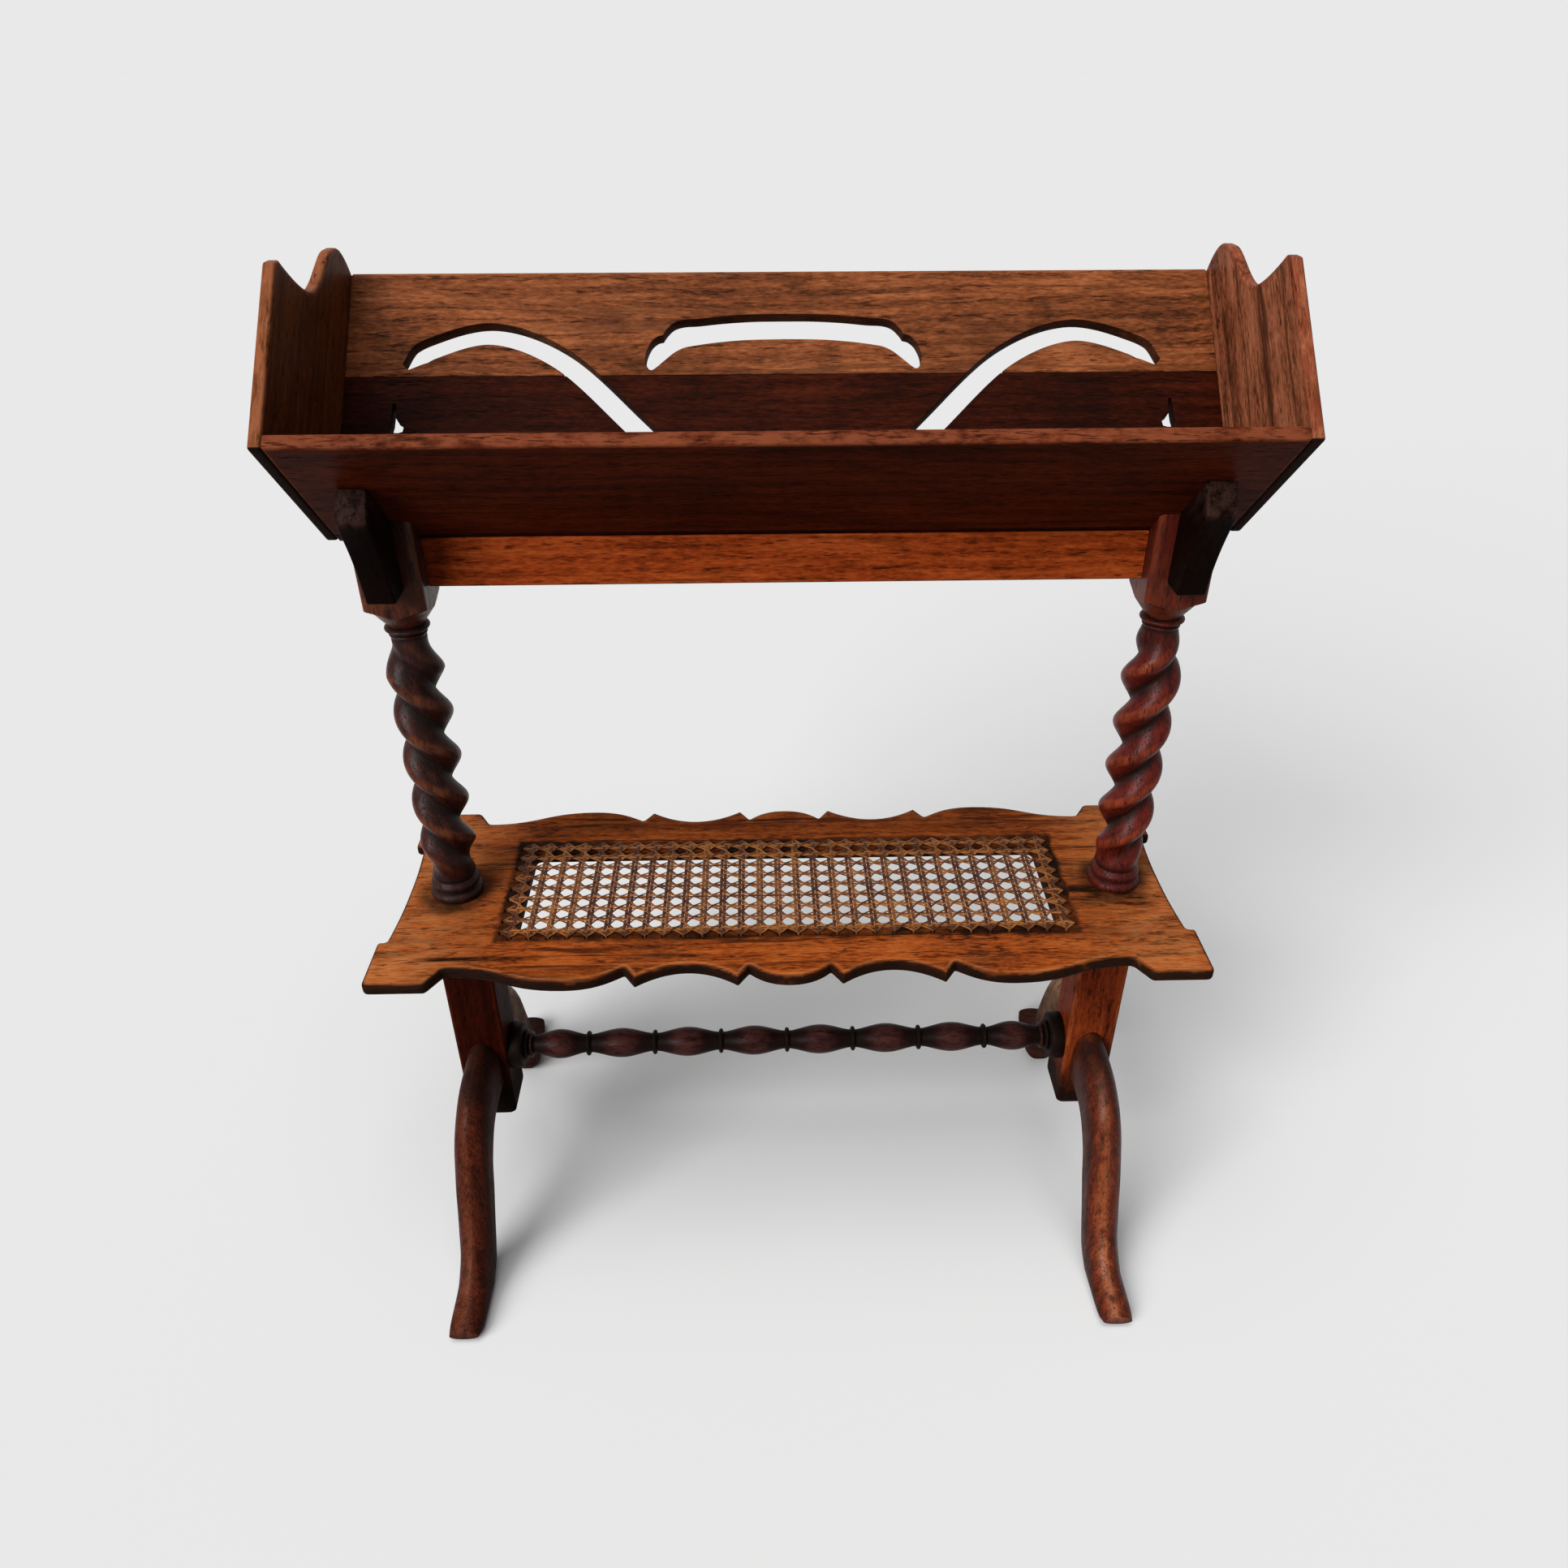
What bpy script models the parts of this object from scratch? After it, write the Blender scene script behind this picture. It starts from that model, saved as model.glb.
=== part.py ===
"""Oak book trough: a V-shaped trough on two barley-twist columns, with a caned shelf below.

Metres, +Z up. X runs along the trough, -Y is the front. The origin lies on the floor, midway
between the four feet.
"""
import math

import bmesh
import bpy
from mathutils import Vector
from mathutils.geometry import interpolate_bezier

# Clearances
GLUE_LINE = 0.0003            # between pieces that are glued or rest on each other
HOLE_CLEARANCE = 0.0003       # round a tenon, dowel, pin or screw in its hole

# Stand: overall places
COLUMN_INSET = 0.0465         # axes of the columns, from the ends of the shelf
SHELF_HEIGHT = 0.317          # floor to the top of the shelf
COLUMN_HEIGHT = 0.283         # top of the shelf to the ridge of the trough

# Shelf
SHELF_LENGTH = 0.600
SHELF_DEPTH = 0.212
SHELF_THICKNESS = 0.010
SHELF_EDGE = 0.0008           # eased edges
EAR_LENGTH = 0.044            # of a corner ear, along the front edge
EAR_DEPTH = 0.047             # of a corner ear, along the end
EAR_STEP = 0.0065             # from the ear's end to the end edge beside it
END_HOLLOW = 0.003            # how far the end edge is hollowed at its middle
NOTCH_DEPTH = 0.016           # beside the ear
NOTCH_RUN = 0.010             # length of the slanting side of that notch
LONG_LOBE_PEAK = 0.160        # from the middle of the shelf
CUSP_NEAR = 0.037             # cusps, from the middle of the shelf
CUSP_FAR = 0.110
CUSP_RUN = 0.008              # length of a cusp's short side
CUSP_SET_BACK = 0.002         # cusp tips behind the front line of the ears
CUSP_DEPTH = 0.012            # of the short side
CUSP_EASE = 0.8               # how late the middle lobe turns into its cusp
HOLLOW_DEPTH = 0.014          # of the hollow between two cusps

# Cane net in the shelf
CANE_MARGIN = 0.0419          # outermost gaps of the net, from the axes of the columns
CANE_DEPTH = 0.1166
CANE_THICKNESS = 0.0016
CANE_COLUMNS = 31
CANE_ROWS = 9
CANE_STRAND = 0.0046          # width of a crossing of strands between two gaps
CANE_LEDGE = 0.011            # wood under the edge of the net

# Columns
BLOCK_WIDTH = 0.041           # square head under the trough
BLOCK_DROP = 0.057            # from the ridge of the trough to the underside of the head
SHOULDER_HEIGHT = 0.017       # turned shoulder of the head
NECK_HEIGHT = 0.009
NECK_RADIUS = 0.0118
NECK_RING_RADIUS = 0.0155
TWIST_RADIUS = 0.0202         # on the ridges
TWIST_GROOVE_RADIUS = 0.0108
TWIST_LEAD = 0.073            # of each of the two ridges
TWIST_STARTS = {"left": math.radians(154), "right": math.radians(105)}
TWIST_FADE = 0.14             # share of the twist's length that runs out at each end
TWIST_FULLNESS = 1.1          # lower for fuller ridges and narrower grooves
BASE_HEIGHT = 0.020
BASE_RADIUS = 0.0215
BASE_NECK_RADIUS = 0.0170
BASE_TURNING_SHARES = ((0.0, 0.93), (0.16, 1.0), (0.32, 0.97), (0.42, 0.86), (0.56, 0.92),
                       (0.72, 0.90))
NECK_RING_SHARES = (0.5, 0.85)  # from and to, of the neck
SHOULDER_SHARES = ((0.0, 0.0), (0.45, 0.35), (0.86, 0.65), (1.0, 1.0))
TENON_RADIUS = 0.010          # through the shelf into the post
TENON_DEPTH = 0.038           # in the post
TURNING_SIDES = 16
TWIST_STEPS = 46

# Posts
POST_WIDTH = 0.0396
POST_BOTTOM = 0.081           # above the floor
POST_ROUNDING = 0.010         # at the lower end

# Legs: outwards from the face of the post, and up from the floor
LEG_WIDTH = 0.027
LEG_SPLAY = 0.006             # sideways, at the toe
LEG_TOP = 0.173
LEG_ROOT = 0.056              # height of the glued face
LEG_REACH = 0.1545
# shares of the reach and of the top's height
LEG_CREST_SHARES = ((0.233, 0.954), (0.408, 0.832), (0.511, 0.647), (0.573, 0.462),
                    (0.667, 0.283), (0.816, 0.142))
LEG_HOLLOW_SHARES = ((0.573, 0.075), (0.498, 0.208), (0.414, 0.370), (0.350, 0.520), (0.220, 0.642))
HEEL_SHARE = 0.608            # of the reach, where the foot meets the floor
TOE_THICKNESS = 0.0145
TOE_LIFT = 0.004
LEG_ROUNDING = 0.0095         # of the front edges
LEG_STEPS = 2                 # between two points of the outline
LEG_DOWEL_RADIUS = 0.004
LEG_DOWEL_LENGTH = 0.028
LEG_DOWEL_EDGE = 0.014        # from the ends of the glued face

# Stretcher
STRETCHER_HEIGHT = 0.151
STRETCHER_RINGS = 7
BOBBIN_PITCH = 0.056          # between neighbouring rings
BOBBIN_RADIUS = 0.0122
BOBBIN_NECK_RADIUS = 0.0075
BOBBIN_SWELL = 1.5            # higher for slimmer ends
BOBBIN_STEPS = 6
RING_RADIUS = 0.0104
RING_WIDTH = 0.004
BEAD_RADIUS = 0.0130
BEAD_WIDTH = 0.008
BEAD_FLAT = 0.0024
COLLAR_RADIUS = 0.0195
COLLAR_WIDTH = 0.011
COLLAR_EDGE = 0.0016          # rounding of its inner rim
STRETCHER_TENON_RADIUS = 0.007
STRETCHER_TENON_LENGTH = 0.012
STRETCHER_SIDES = 12

# Trough, in its own frame: U runs up the back board and V up the front board
TROUGH_INSET = 0.006          # ends of the trough, from the ends of the shelf
BOARD_THICKNESS = 0.009
FRONT_BOARD_WIDTH = 0.120
BACK_BOARD_WIDTH = 0.187
BACK_JOINT = 0.110            # from the ridge to the joint of the two back planks
BOARD_EDGE = 0.0008           # eased edges
FRONT_EAR_RISE = 0.1140       # of the end board above its front corner
FRONT_EAR_TOP = 0.007         # flat on the front ear
END_THICKNESS = 0.0075
END_NOTCH_OUT = 0.0475        # notch in the end board, behind the ridge
END_NOTCH_HEIGHT = 0.1415     # above the ridge
END_NOTCH_EASE = 0.017        # length over which a curve leaves the notch
BACK_EAR_OUT = 0.096
BACK_EAR_HEIGHT = 0.157
BACK_EAR_WIDTH = 0.008
END_EASE = 0.012              # length over which a curve leaves an ear

# Piercings in the back board
ARCH_END_OUT = 0.088          # middle arch, from the middle of the board
ARCH_END_UP = 0.118
ARCH_SHOULDER_OUT = 0.062
ARCH_SHOULDER_UP = 0.1385
ARCH_CROWN_UP = 0.146
ARCH_SLOT = 0.019
WAVE_LINE = ((0.2187, 0.040), (0.1857, 0.0765), (0.1397, 0.122), (0.0947, 0.141), (0.0547, 0.131),
             (0.0372, 0.1175))    # from the end of the board, and up it
WAVE_SLOT = 0.0155
ARCH_BLUNTNESS = 0.7          # width of a slot's end, as a share of the slot
WAVE_BLUNTNESS = 0.35
SLOT_TAPER = 0.13             # share of a slot's length that widens from each end
SPADE_INSET = 0.0287          # small three-sided piercing, from the end of the board
SPADE_UP = 0.095
SPADE_HEIGHT = 0.019
SPADE_WIDTH = 0.009

# Rail under the ridge
RAIL_THICKNESS = 0.012
RAIL_DROP = 0.0295            # from the ridge to its underside
RAIL_TENON_LENGTH = 0.008
RAIL_TENON_THICKNESS = 0.006
RAIL_TENON_MARGIN = 0.005     # shoulder below and above the tenon

# Arms
ARM_WIDTH = 0.0185
ARM_DROP = 0.026              # from the ridge to its lower end
ARM_FOOT = 0.021              # thickness of the lower end
ARM_RUN = 0.076               # along the board, from the ridge
ARM_TIP = 0.022               # height of the blunt tip
ARM_TIP_SLANT = math.radians(33)
ARM_HOLLOW = 0.003            # of the front profile
ARM_DOWEL_RADIUS = 0.004
ARM_DOWEL_LENGTH = 0.022
ARM_DOWEL_DROP = 0.006        # below the ridge
ARM_SCREW_RUN = 0.052         # along the board, from the ridge
ARM_SCREW_LENGTH = 0.022
ARM_SCREW_RADIUS = 0.0018
ARM_SCREW_HEAD_RADIUS = 0.0036
ARM_SCREW_HEAD = 0.0022

# Pins that hold the end boards
PIN_RADIUS = 0.0011
PIN_HEAD_RADIUS = 0.0019
PIN_HEAD = 0.0015
PIN_LENGTH = 0.026
FRONT_PIN_RUNS = (0.040, 0.104)
BACK_PIN_RUNS = (0.034, 0.094, 0.150)
FASTENER_SIDES = 8

# Curves and edges
CURVE_STEPS = 6
EASED_ANGLE = math.radians(50)
SHARP_ANGLE = math.radians(35)

# Derived places
RIDGE_HEIGHT = SHELF_HEIGHT + COLUMN_HEIGHT
COLUMN_X = SHELF_LENGTH / 2 - COLUMN_INSET
CANE_LENGTH = 2 * (COLUMN_X - CANE_MARGIN)
TROUGH_LENGTH = SHELF_LENGTH - 2 * TROUGH_INSET
SHELF_UNDERSIDE = SHELF_HEIGHT - SHELF_THICKNESS
END_INNER_X = TROUGH_LENGTH / 2 - END_THICKNESS
BOARD_HALF_LENGTH = END_INNER_X - GLUE_LINE
SIDES = {"left": -1, "right": 1}
ENDS = {"front": -1, "rear": 1}

# Finishes
OAK_ROUGHNESS = 0.45
CANE_ROUGHNESS = 0.5
IRON_ROUGHNESS = 0.5
OAK_DARK = (0.085, 0.028, 0.014)
OAK_RED = (0.150, 0.048, 0.020)
OAK_TAWNY = (0.260, 0.095, 0.030)
CANE_TAN = (0.330, 0.170, 0.070)
IRON_GREY = (0.120, 0.115, 0.110)


def clear_scene():
    """Remove everything that the scene holds."""
    for item in list(bpy.data.objects):
        bpy.data.objects.remove(item, do_unlink=True)


def finish(name, colour, roughness, metallic=0.0):
    """A plain material with the piece's colour."""
    made = bpy.data.materials.new(name)
    made.use_nodes = True
    shader = made.node_tree.nodes["Principled BSDF"]
    shader.inputs["Base Color"].default_value = (*colour, 1.0)
    shader.inputs["Roughness"].default_value = roughness
    shader.inputs["Metallic"].default_value = metallic
    return made


def wood(piece, colour=OAK_RED):
    return finish(f"{piece}_oak", colour, OAK_ROUGHNESS)


def empty(name, location, turn=0.0):
    """A guide that carries a sub-assembly, turned about X."""
    guide = bpy.data.objects.new(name, None)
    guide.location = location
    guide.rotation_euler = (turn, 0.0, 0.0)
    bpy.context.scene.collection.objects.link(guide)
    return guide


def add_piece(name, shape, material=None, parent=None, location=(0, 0, 0), rotation=None):
    """Turn a closed bmesh into a named object; without a material it is a guide or a cutter."""
    bmesh.ops.recalc_face_normals(shape, faces=shape.faces)
    mesh = bpy.data.meshes.new(name)
    shape.to_mesh(mesh)
    shape.free()
    piece = bpy.data.objects.new(name, mesh)
    piece.location = location
    piece.rotation_mode = "QUATERNION"
    if rotation is not None:
        piece.rotation_quaternion = rotation
    piece.parent = parent
    bpy.context.scene.collection.objects.link(piece)
    if material is None:
        piece.hide_render = True
        piece.display_type = "WIRE"
    else:
        mesh.materials.append(material)
    return piece


def combine(piece, tool, operation):
    """Cut a piece with a tool, or join the tool to it."""
    change = piece.modifiers.new(f"{operation.lower()}_{tool.name}", "BOOLEAN")
    change.operation = operation
    change.solver = "EXACT"
    change.object = tool


def round_turned(piece):
    piece.data.shade_smooth()
    piece.data.set_sharp_from_angle(angle=SHARP_ANGLE)


def bezier(start, start_handle, end_handle, end, steps=CURVE_STEPS):
    """Points on a cubic curve, its first point left out."""
    knots = [Vector((*p, 0.0)) for p in (start, start_handle, end_handle, end)]
    return [(p.x, p.y) for p in interpolate_bezier(*knots, steps + 1)[1:]]


def arc(start, end, rise, steps=CURVE_STEPS):
    """Points on a flat curve that bows to the left of its chord, its first point left out."""
    chord = Vector(end) - Vector(start)
    side = Vector((-chord.y, chord.x)).normalized() * rise
    points = []
    for step in range(1, steps + 1):
        share = step / steps
        point = Vector(start) + chord * share + side * 4 * share * (1 - share)
        points.append((point.x, point.y))
    return points


def smooth_path(knots, steps=CURVE_STEPS):
    """A smooth curve through the knots, with so many steps between two of them."""
    first = tuple(2 * a - b for a, b in zip(knots[0], knots[1]))
    last = tuple(2 * a - b for a, b in zip(knots[-1], knots[-2]))
    guide = [Vector(k) for k in (first, *knots, last)]
    points = [tuple(guide[1])]
    for before, start, end, after in zip(guide, guide[1:], guide[2:], guide[3:]):
        for step in range(1, steps + 1):
            t = step / steps
            point = (2 * start + (end - before) * t
                     + (2 * before - 5 * start + 4 * end - after) * t ** 2
                     + (3 * start - before - 3 * end + after) * t ** 3) / 2
            points.append(tuple(point))
    return points


def prism(outline, low, high, place=lambda a, b, c: (a, b, c)):
    """An outline in the plane (a, b), drawn out along c from low to high."""
    shape = bmesh.new()
    lower = [shape.verts.new(place(a, b, low)) for a, b in outline]
    upper = [shape.verts.new(place(a, b, high)) for a, b in outline]
    shape.faces.new(list(reversed(lower)))
    shape.faces.new(upper)
    count = len(outline)
    for index in range(count):
        after = (index + 1) % count
        shape.faces.new((lower[index], lower[after], upper[after], upper[index]))
    return shape


def along_x(a, b, c):
    """Place for a prism whose outline lies in the plane (Y, Z)."""
    return c, a, b


def box(low, high):
    corners = [(low[0], low[1]), (high[0], low[1]), (high[0], high[1]), (low[0], high[1])]
    return prism(corners, low[2], high[2])


def ring_stack(rings, caps=None):
    """A closed body through rings of equally many points, in order along it."""
    shape = bmesh.new()
    rows = [[shape.verts.new(point) for point in ring] for ring in rings]
    count = len(rows[0])
    for below, above in zip(rows, rows[1:]):
        for index in range(count):
            after = (index + 1) % count
            shape.faces.new((below[index], below[after], above[after], above[index]))
    shape.faces.new(list(reversed(rows[0])))
    half = count // 2
    if caps == "ridge":
        shape.faces.new(rows[-1][:half + 1])
        shape.faces.new(rows[-1][half:] + rows[-1][:1])
    else:
        shape.faces.new(rows[-1])
    return shape


def turned(profile, sides):
    """A turned body from (radius, height) pairs, from its lower end up."""
    rings = []
    for radius, height in profile:
        turns = [2 * math.pi * index / sides for index in range(sides)]
        rings.append([(radius * math.cos(t), radius * math.sin(t), height) for t in turns])
    return ring_stack(rings)


def ease_edges(shape, width):
    """Chamfer the sharp edges of a bmesh."""
    edges = [e for e in shape.edges if e.calc_face_angle(0.0) > EASED_ANGLE]
    bmesh.ops.bevel(shape, geom=edges, offset=width, segments=1, profile=0.5,
                    affect="EDGES", clamp_overlap=True)
    return shape


def facing(direction):
    """The turn that points a fastener, made along +Z, in a direction."""
    return Vector((0, 0, 1)).rotation_difference(Vector(direction))


def fasten(name, profile, material, place, direction, pieces, parent=None):
    """Set a turned fastener at a place and cut its hole, with clearance, in each piece."""
    hole = [(radius + HOLE_CLEARANCE, height) for radius, height in profile]
    hole[0] = (hole[0][0], hole[0][1] - HOLE_CLEARANCE)
    hole[-1] = (hole[-1][0], hole[-1][1] + HOLE_CLEARANCE)
    turn = facing(direction)
    made = add_piece(name, turned(profile, FASTENER_SIDES), material, parent, place, turn)
    tool = add_piece(f"{name}_hole", turned(hole, FASTENER_SIDES), None, parent, place, turn)
    round_turned(made)
    for piece in pieces:
        combine(piece, tool, "DIFFERENCE")
    return made


def dowel_profile(radius, length):
    """A plain dowel, centred on the joint."""
    return [(radius, -length / 2), (radius, length / 2)]


def headed_profile(shank, head, head_height, length):
    """A screw or pin whose head starts flush at height 0; it runs along +Z."""
    return [(head, 0.0), (head, head_height), (shank, head_height), (shank, length)]


def mirrored_outline(quarter):
    """A closed outline from one quarter, which runs from the Y axis to the X axis."""
    right_front = [(x, -d) for x, d in quarter]
    right_back = [(x, d) for x, d in reversed(quarter[:-1])]
    left_back = [(-x, d) for x, d in quarter[1:]]
    left_front = [(-x, -d) for x, d in reversed(quarter[1:-1])]
    return right_front + right_back + left_back + left_front


def shelf_outline():
    """The serpentine shelf: lobes, cusps and hollows along the sides, an ear at each corner."""
    front = SHELF_DEPTH / 2
    end = SHELF_LENGTH / 2
    tip = front - CUSP_SET_BACK
    foot = tip - CUSP_DEPTH
    notch_start = (end - EAR_LENGTH - NOTCH_RUN, front - NOTCH_DEPTH)
    near_foot = (CUSP_NEAR - CUSP_RUN, foot)
    far_foot = (CUSP_FAR + CUSP_RUN, foot)
    peak = (LONG_LOBE_PEAK, front)
    end_edge = end - EAR_STEP
    points = [(0.0, tip)]
    points += bezier(points[-1], (near_foot[0] / 2, tip),
                     (near_foot[0] * CUSP_EASE, (tip + foot) / 2), near_foot)
    points.append((CUSP_NEAR, tip))
    points += arc(points[-1], (CUSP_FAR, tip), -HOLLOW_DEPTH, 2 * CURVE_STEPS)
    points.append(far_foot)
    reach = (peak[0] - far_foot[0]) / 2
    points += bezier(far_foot, (far_foot[0] + reach / 2, (foot + front) / 2),
                     (peak[0] - reach, front), peak)
    reach = (notch_start[0] - peak[0]) / 2
    points += bezier(peak, (peak[0] + reach, front),
                     (notch_start[0] - reach, notch_start[1]), notch_start)
    points.append((end - EAR_LENGTH, front))
    points.append((end, front))
    points.append((end, front - EAR_DEPTH))
    points.append((end_edge, front - EAR_DEPTH))
    hollow = (end_edge - END_HOLLOW, front / 2 - EAR_DEPTH / 2)
    points += bezier(points[-1], hollow, (end_edge - END_HOLLOW, hollow[1] / 2),
                     (end_edge - END_HOLLOW, 0.0))
    return mirrored_outline(points)


def build_shelf():
    """One plank, pierced for the cane and for the tenons of the columns."""
    shape = ease_edges(prism(shelf_outline(), SHELF_UNDERSIDE, SHELF_HEIGHT), SHELF_EDGE)
    shelf = add_piece("shelf_board", shape, wood("shelf", OAK_TAWNY))
    half_length = CANE_LENGTH / 2 - CANE_LEDGE
    half_depth = CANE_DEPTH / 2 - CANE_LEDGE
    opening = box((-half_length, -half_depth, SHELF_UNDERSIDE - SHELF_THICKNESS),
                  (half_length, half_depth, SHELF_HEIGHT + SHELF_THICKNESS))
    combine(shelf, add_piece("cane_opening", opening), "DIFFERENCE")
    return shelf


def gap_lines(count, length):
    """Edges of the strands and gaps across the net, from one rim to the other."""
    pitch = length / count
    lines = [-length / 2 - CANE_STRAND / 2]
    for index in range(count + 1):
        middle = -length / 2 + index * pitch
        if index:
            lines.append(middle - CANE_STRAND / 2)
        if index < count:
            lines.append(middle + CANE_STRAND / 2)
    lines.append(length / 2 + CANE_STRAND / 2)
    return lines


def build_cane():
    """The flat cane net, laid over the opening on a ledge of wood."""
    columns = gap_lines(CANE_COLUMNS, CANE_LENGTH)
    rows = gap_lines(CANE_ROWS, CANE_DEPTH)
    shape = bmesh.new()
    grid = [[shape.verts.new((x, y, 0.0)) for y in rows] for x in columns]
    for i in range(len(columns) - 1):
        for j in range(len(rows) - 1):
            if i % 2 and j % 2:
                continue
            shape.faces.new((grid[i][j], grid[i + 1][j], grid[i + 1][j + 1], grid[i][j + 1]))
    drawn = bmesh.ops.extrude_face_region(shape, geom=list(shape.faces))
    raised = [item for item in drawn["geom"] if isinstance(item, bmesh.types.BMVert)]
    bmesh.ops.translate(shape, verts=raised, vec=(0, 0, CANE_THICKNESS))
    material = finish("cane", CANE_TAN, CANE_ROUGHNESS)
    return add_piece("cane_panel", shape, material, None, (0, 0, SHELF_HEIGHT + GLUE_LINE))


def twist_radius(turn):
    """Radius of the two-ridged section: round ridges that meet in a sharp groove."""
    swell = TWIST_RADIUS - TWIST_GROOVE_RADIUS
    return TWIST_GROOVE_RADIUS + swell * abs(math.cos(turn)) ** TWIST_FULLNESS


def block_radius(turn):
    """Radius of the square head, seen from its axis."""
    return BLOCK_WIDTH / 2 / max(abs(math.cos(turn)), abs(math.sin(turn)))


def column_rings(hand, first_turn):
    """Rings from the tenon up to the notch that carries the trough; heights from the shelf top."""
    turns = [2 * math.pi * index / TURNING_SIDES for index in range(TURNING_SIDES)]

    def ring(radius, height, shift):
        return [(radius(t) * math.cos(t + shift), radius(t) * math.sin(t + shift), height)
                for t in turns]

    def plain(radius):
        return lambda turn: radius

    foot = GLUE_LINE
    base = BASE_HEIGHT - foot
    block_low = COLUMN_HEIGHT - BLOCK_DROP
    twist_end = block_low - NECK_HEIGHT
    length = twist_end - BASE_HEIGHT
    last_turn = first_turn + hand * 2 * math.pi * length / TWIST_LEAD
    step_turn = 2 * math.pi / TURNING_SIDES
    begun = round(first_turn / step_turn) * step_turn
    start = round(last_turn / step_turn)
    settled = start * step_turn
    rings = [ring(plain(TENON_RADIUS), -SHELF_THICKNESS - GLUE_LINE - TENON_DEPTH, begun),
             ring(plain(TENON_RADIUS), foot, begun)]
    for share, radius in BASE_TURNING_SHARES:
        rings.append(ring(plain(BASE_RADIUS * radius), foot + base * share, begun))
    for step in range(TWIST_STEPS + 1):
        share = step / TWIST_STEPS
        shift = first_turn + (last_turn - first_turn) * share
        fade = min(1.0, share / TWIST_FADE, (1 - share) / TWIST_FADE)
        waist = NECK_RADIUS if share > TWIST_FADE else BASE_NECK_RADIUS
        rings.append(ring(lambda t: waist + (twist_radius(t) - waist) * fade,
                          BASE_HEIGHT + length * share, shift))
    low, high = NECK_RING_SHARES
    for share, radius in ((low / 2, NECK_RADIUS), (low, NECK_RING_RADIUS),
                          (high, NECK_RING_RADIUS), ((1 + high) / 2, NECK_RADIUS)):
        rings.append(ring(plain(radius), twist_end + NECK_HEIGHT * share, settled))
    corner = BLOCK_WIDTH / math.sqrt(2)
    for share, spread in SHOULDER_SHARES:
        lathe = NECK_RADIUS + (corner - NECK_RADIUS) * spread
        rings.append(ring(lambda t: min(block_radius(t + settled), lathe),
                          block_low + SHOULDER_HEIGHT * share, settled))
    notch = COLUMN_HEIGHT - GLUE_LINE * math.sqrt(2)
    head = [(block_radius(t) * math.cos(t), block_radius(t) * math.sin(t)) for t in turns]
    ordered = [head[(index + start) % TURNING_SIDES] for index in range(TURNING_SIDES)]
    rings.append([(x, y, notch + abs(y)) for x, y in ordered])
    back = -start % TURNING_SIDES
    return [ring_points[back:] + ring_points[:back] for ring_points in rings]


def build_columns():
    """Two columns, turned from one piece each, with opposite twists."""
    columns = {}
    for side, sign in SIDES.items():
        shape = ring_stack(column_rings(sign, TWIST_STARTS[side]), caps="ridge")
        sheared = [face for face in shape.faces if len(face.verts) == 4]
        bmesh.ops.triangulate(shape, faces=sheared, quad_method="SHORT_EDGE")
        column = add_piece(f"column_{side}", shape, wood(f"column_{side}", OAK_DARK), None,
                           (sign * COLUMN_X, 0, SHELF_HEIGHT))
        round_turned(column)
        columns[side] = column
    return columns


def build_posts(shelf):
    """Square posts under the shelf, each bored for the tenon of its column."""
    posts = {}
    half = POST_WIDTH / 2
    top = SHELF_UNDERSIDE - GLUE_LINE
    for side, sign in SIDES.items():
        shape = box((-half, -half, POST_BOTTOM), (half, half, top))
        low = [e for e in shape.edges if all(v.co.z < POST_BOTTOM + half for v in e.verts)]
        bmesh.ops.bevel(shape, geom=low, offset=POST_ROUNDING, segments=3, profile=0.5,
                        affect="EDGES", clamp_overlap=True)
        place = (sign * COLUMN_X, 0, 0)
        posts[side] = add_piece(f"lower_post_{side}", shape, wood(f"post_{side}"), None, place)
        bore = [(TENON_RADIUS + HOLE_CLEARANCE, top - TENON_DEPTH - HOLE_CLEARANCE),
                (TENON_RADIUS + HOLE_CLEARANCE, SHELF_HEIGHT + SHELF_THICKNESS)]
        tool = add_piece(f"tenon_bore_{side}", turned(bore, TURNING_SIDES), None, None, place)
        combine(posts[side], tool, "DIFFERENCE")
        combine(shelf, tool, "DIFFERENCE")
    return posts


def leg_outline():
    """Side view of a leg: its crest from the post to the toe, then its underside back."""
    root = LEG_TOP - LEG_ROOT
    front = [(out * LEG_REACH, up * LEG_TOP) for out, up in LEG_CREST_SHARES]
    back = [(out * LEG_REACH, up * LEG_TOP) for out, up in LEG_HOLLOW_SHARES]
    crest = smooth_path([(0.0, LEG_TOP), *front, (LEG_REACH, TOE_THICKNESS)], LEG_STEPS)
    sole = [(LEG_REACH, TOE_LIFT), (LEG_REACH - 2 * TOE_LIFT, 0.0)]
    hollow = smooth_path([(HEEL_SHARE * LEG_REACH, 0.0), *back, (0.0, root)], LEG_STEPS)
    return crest, sole + hollow


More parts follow.
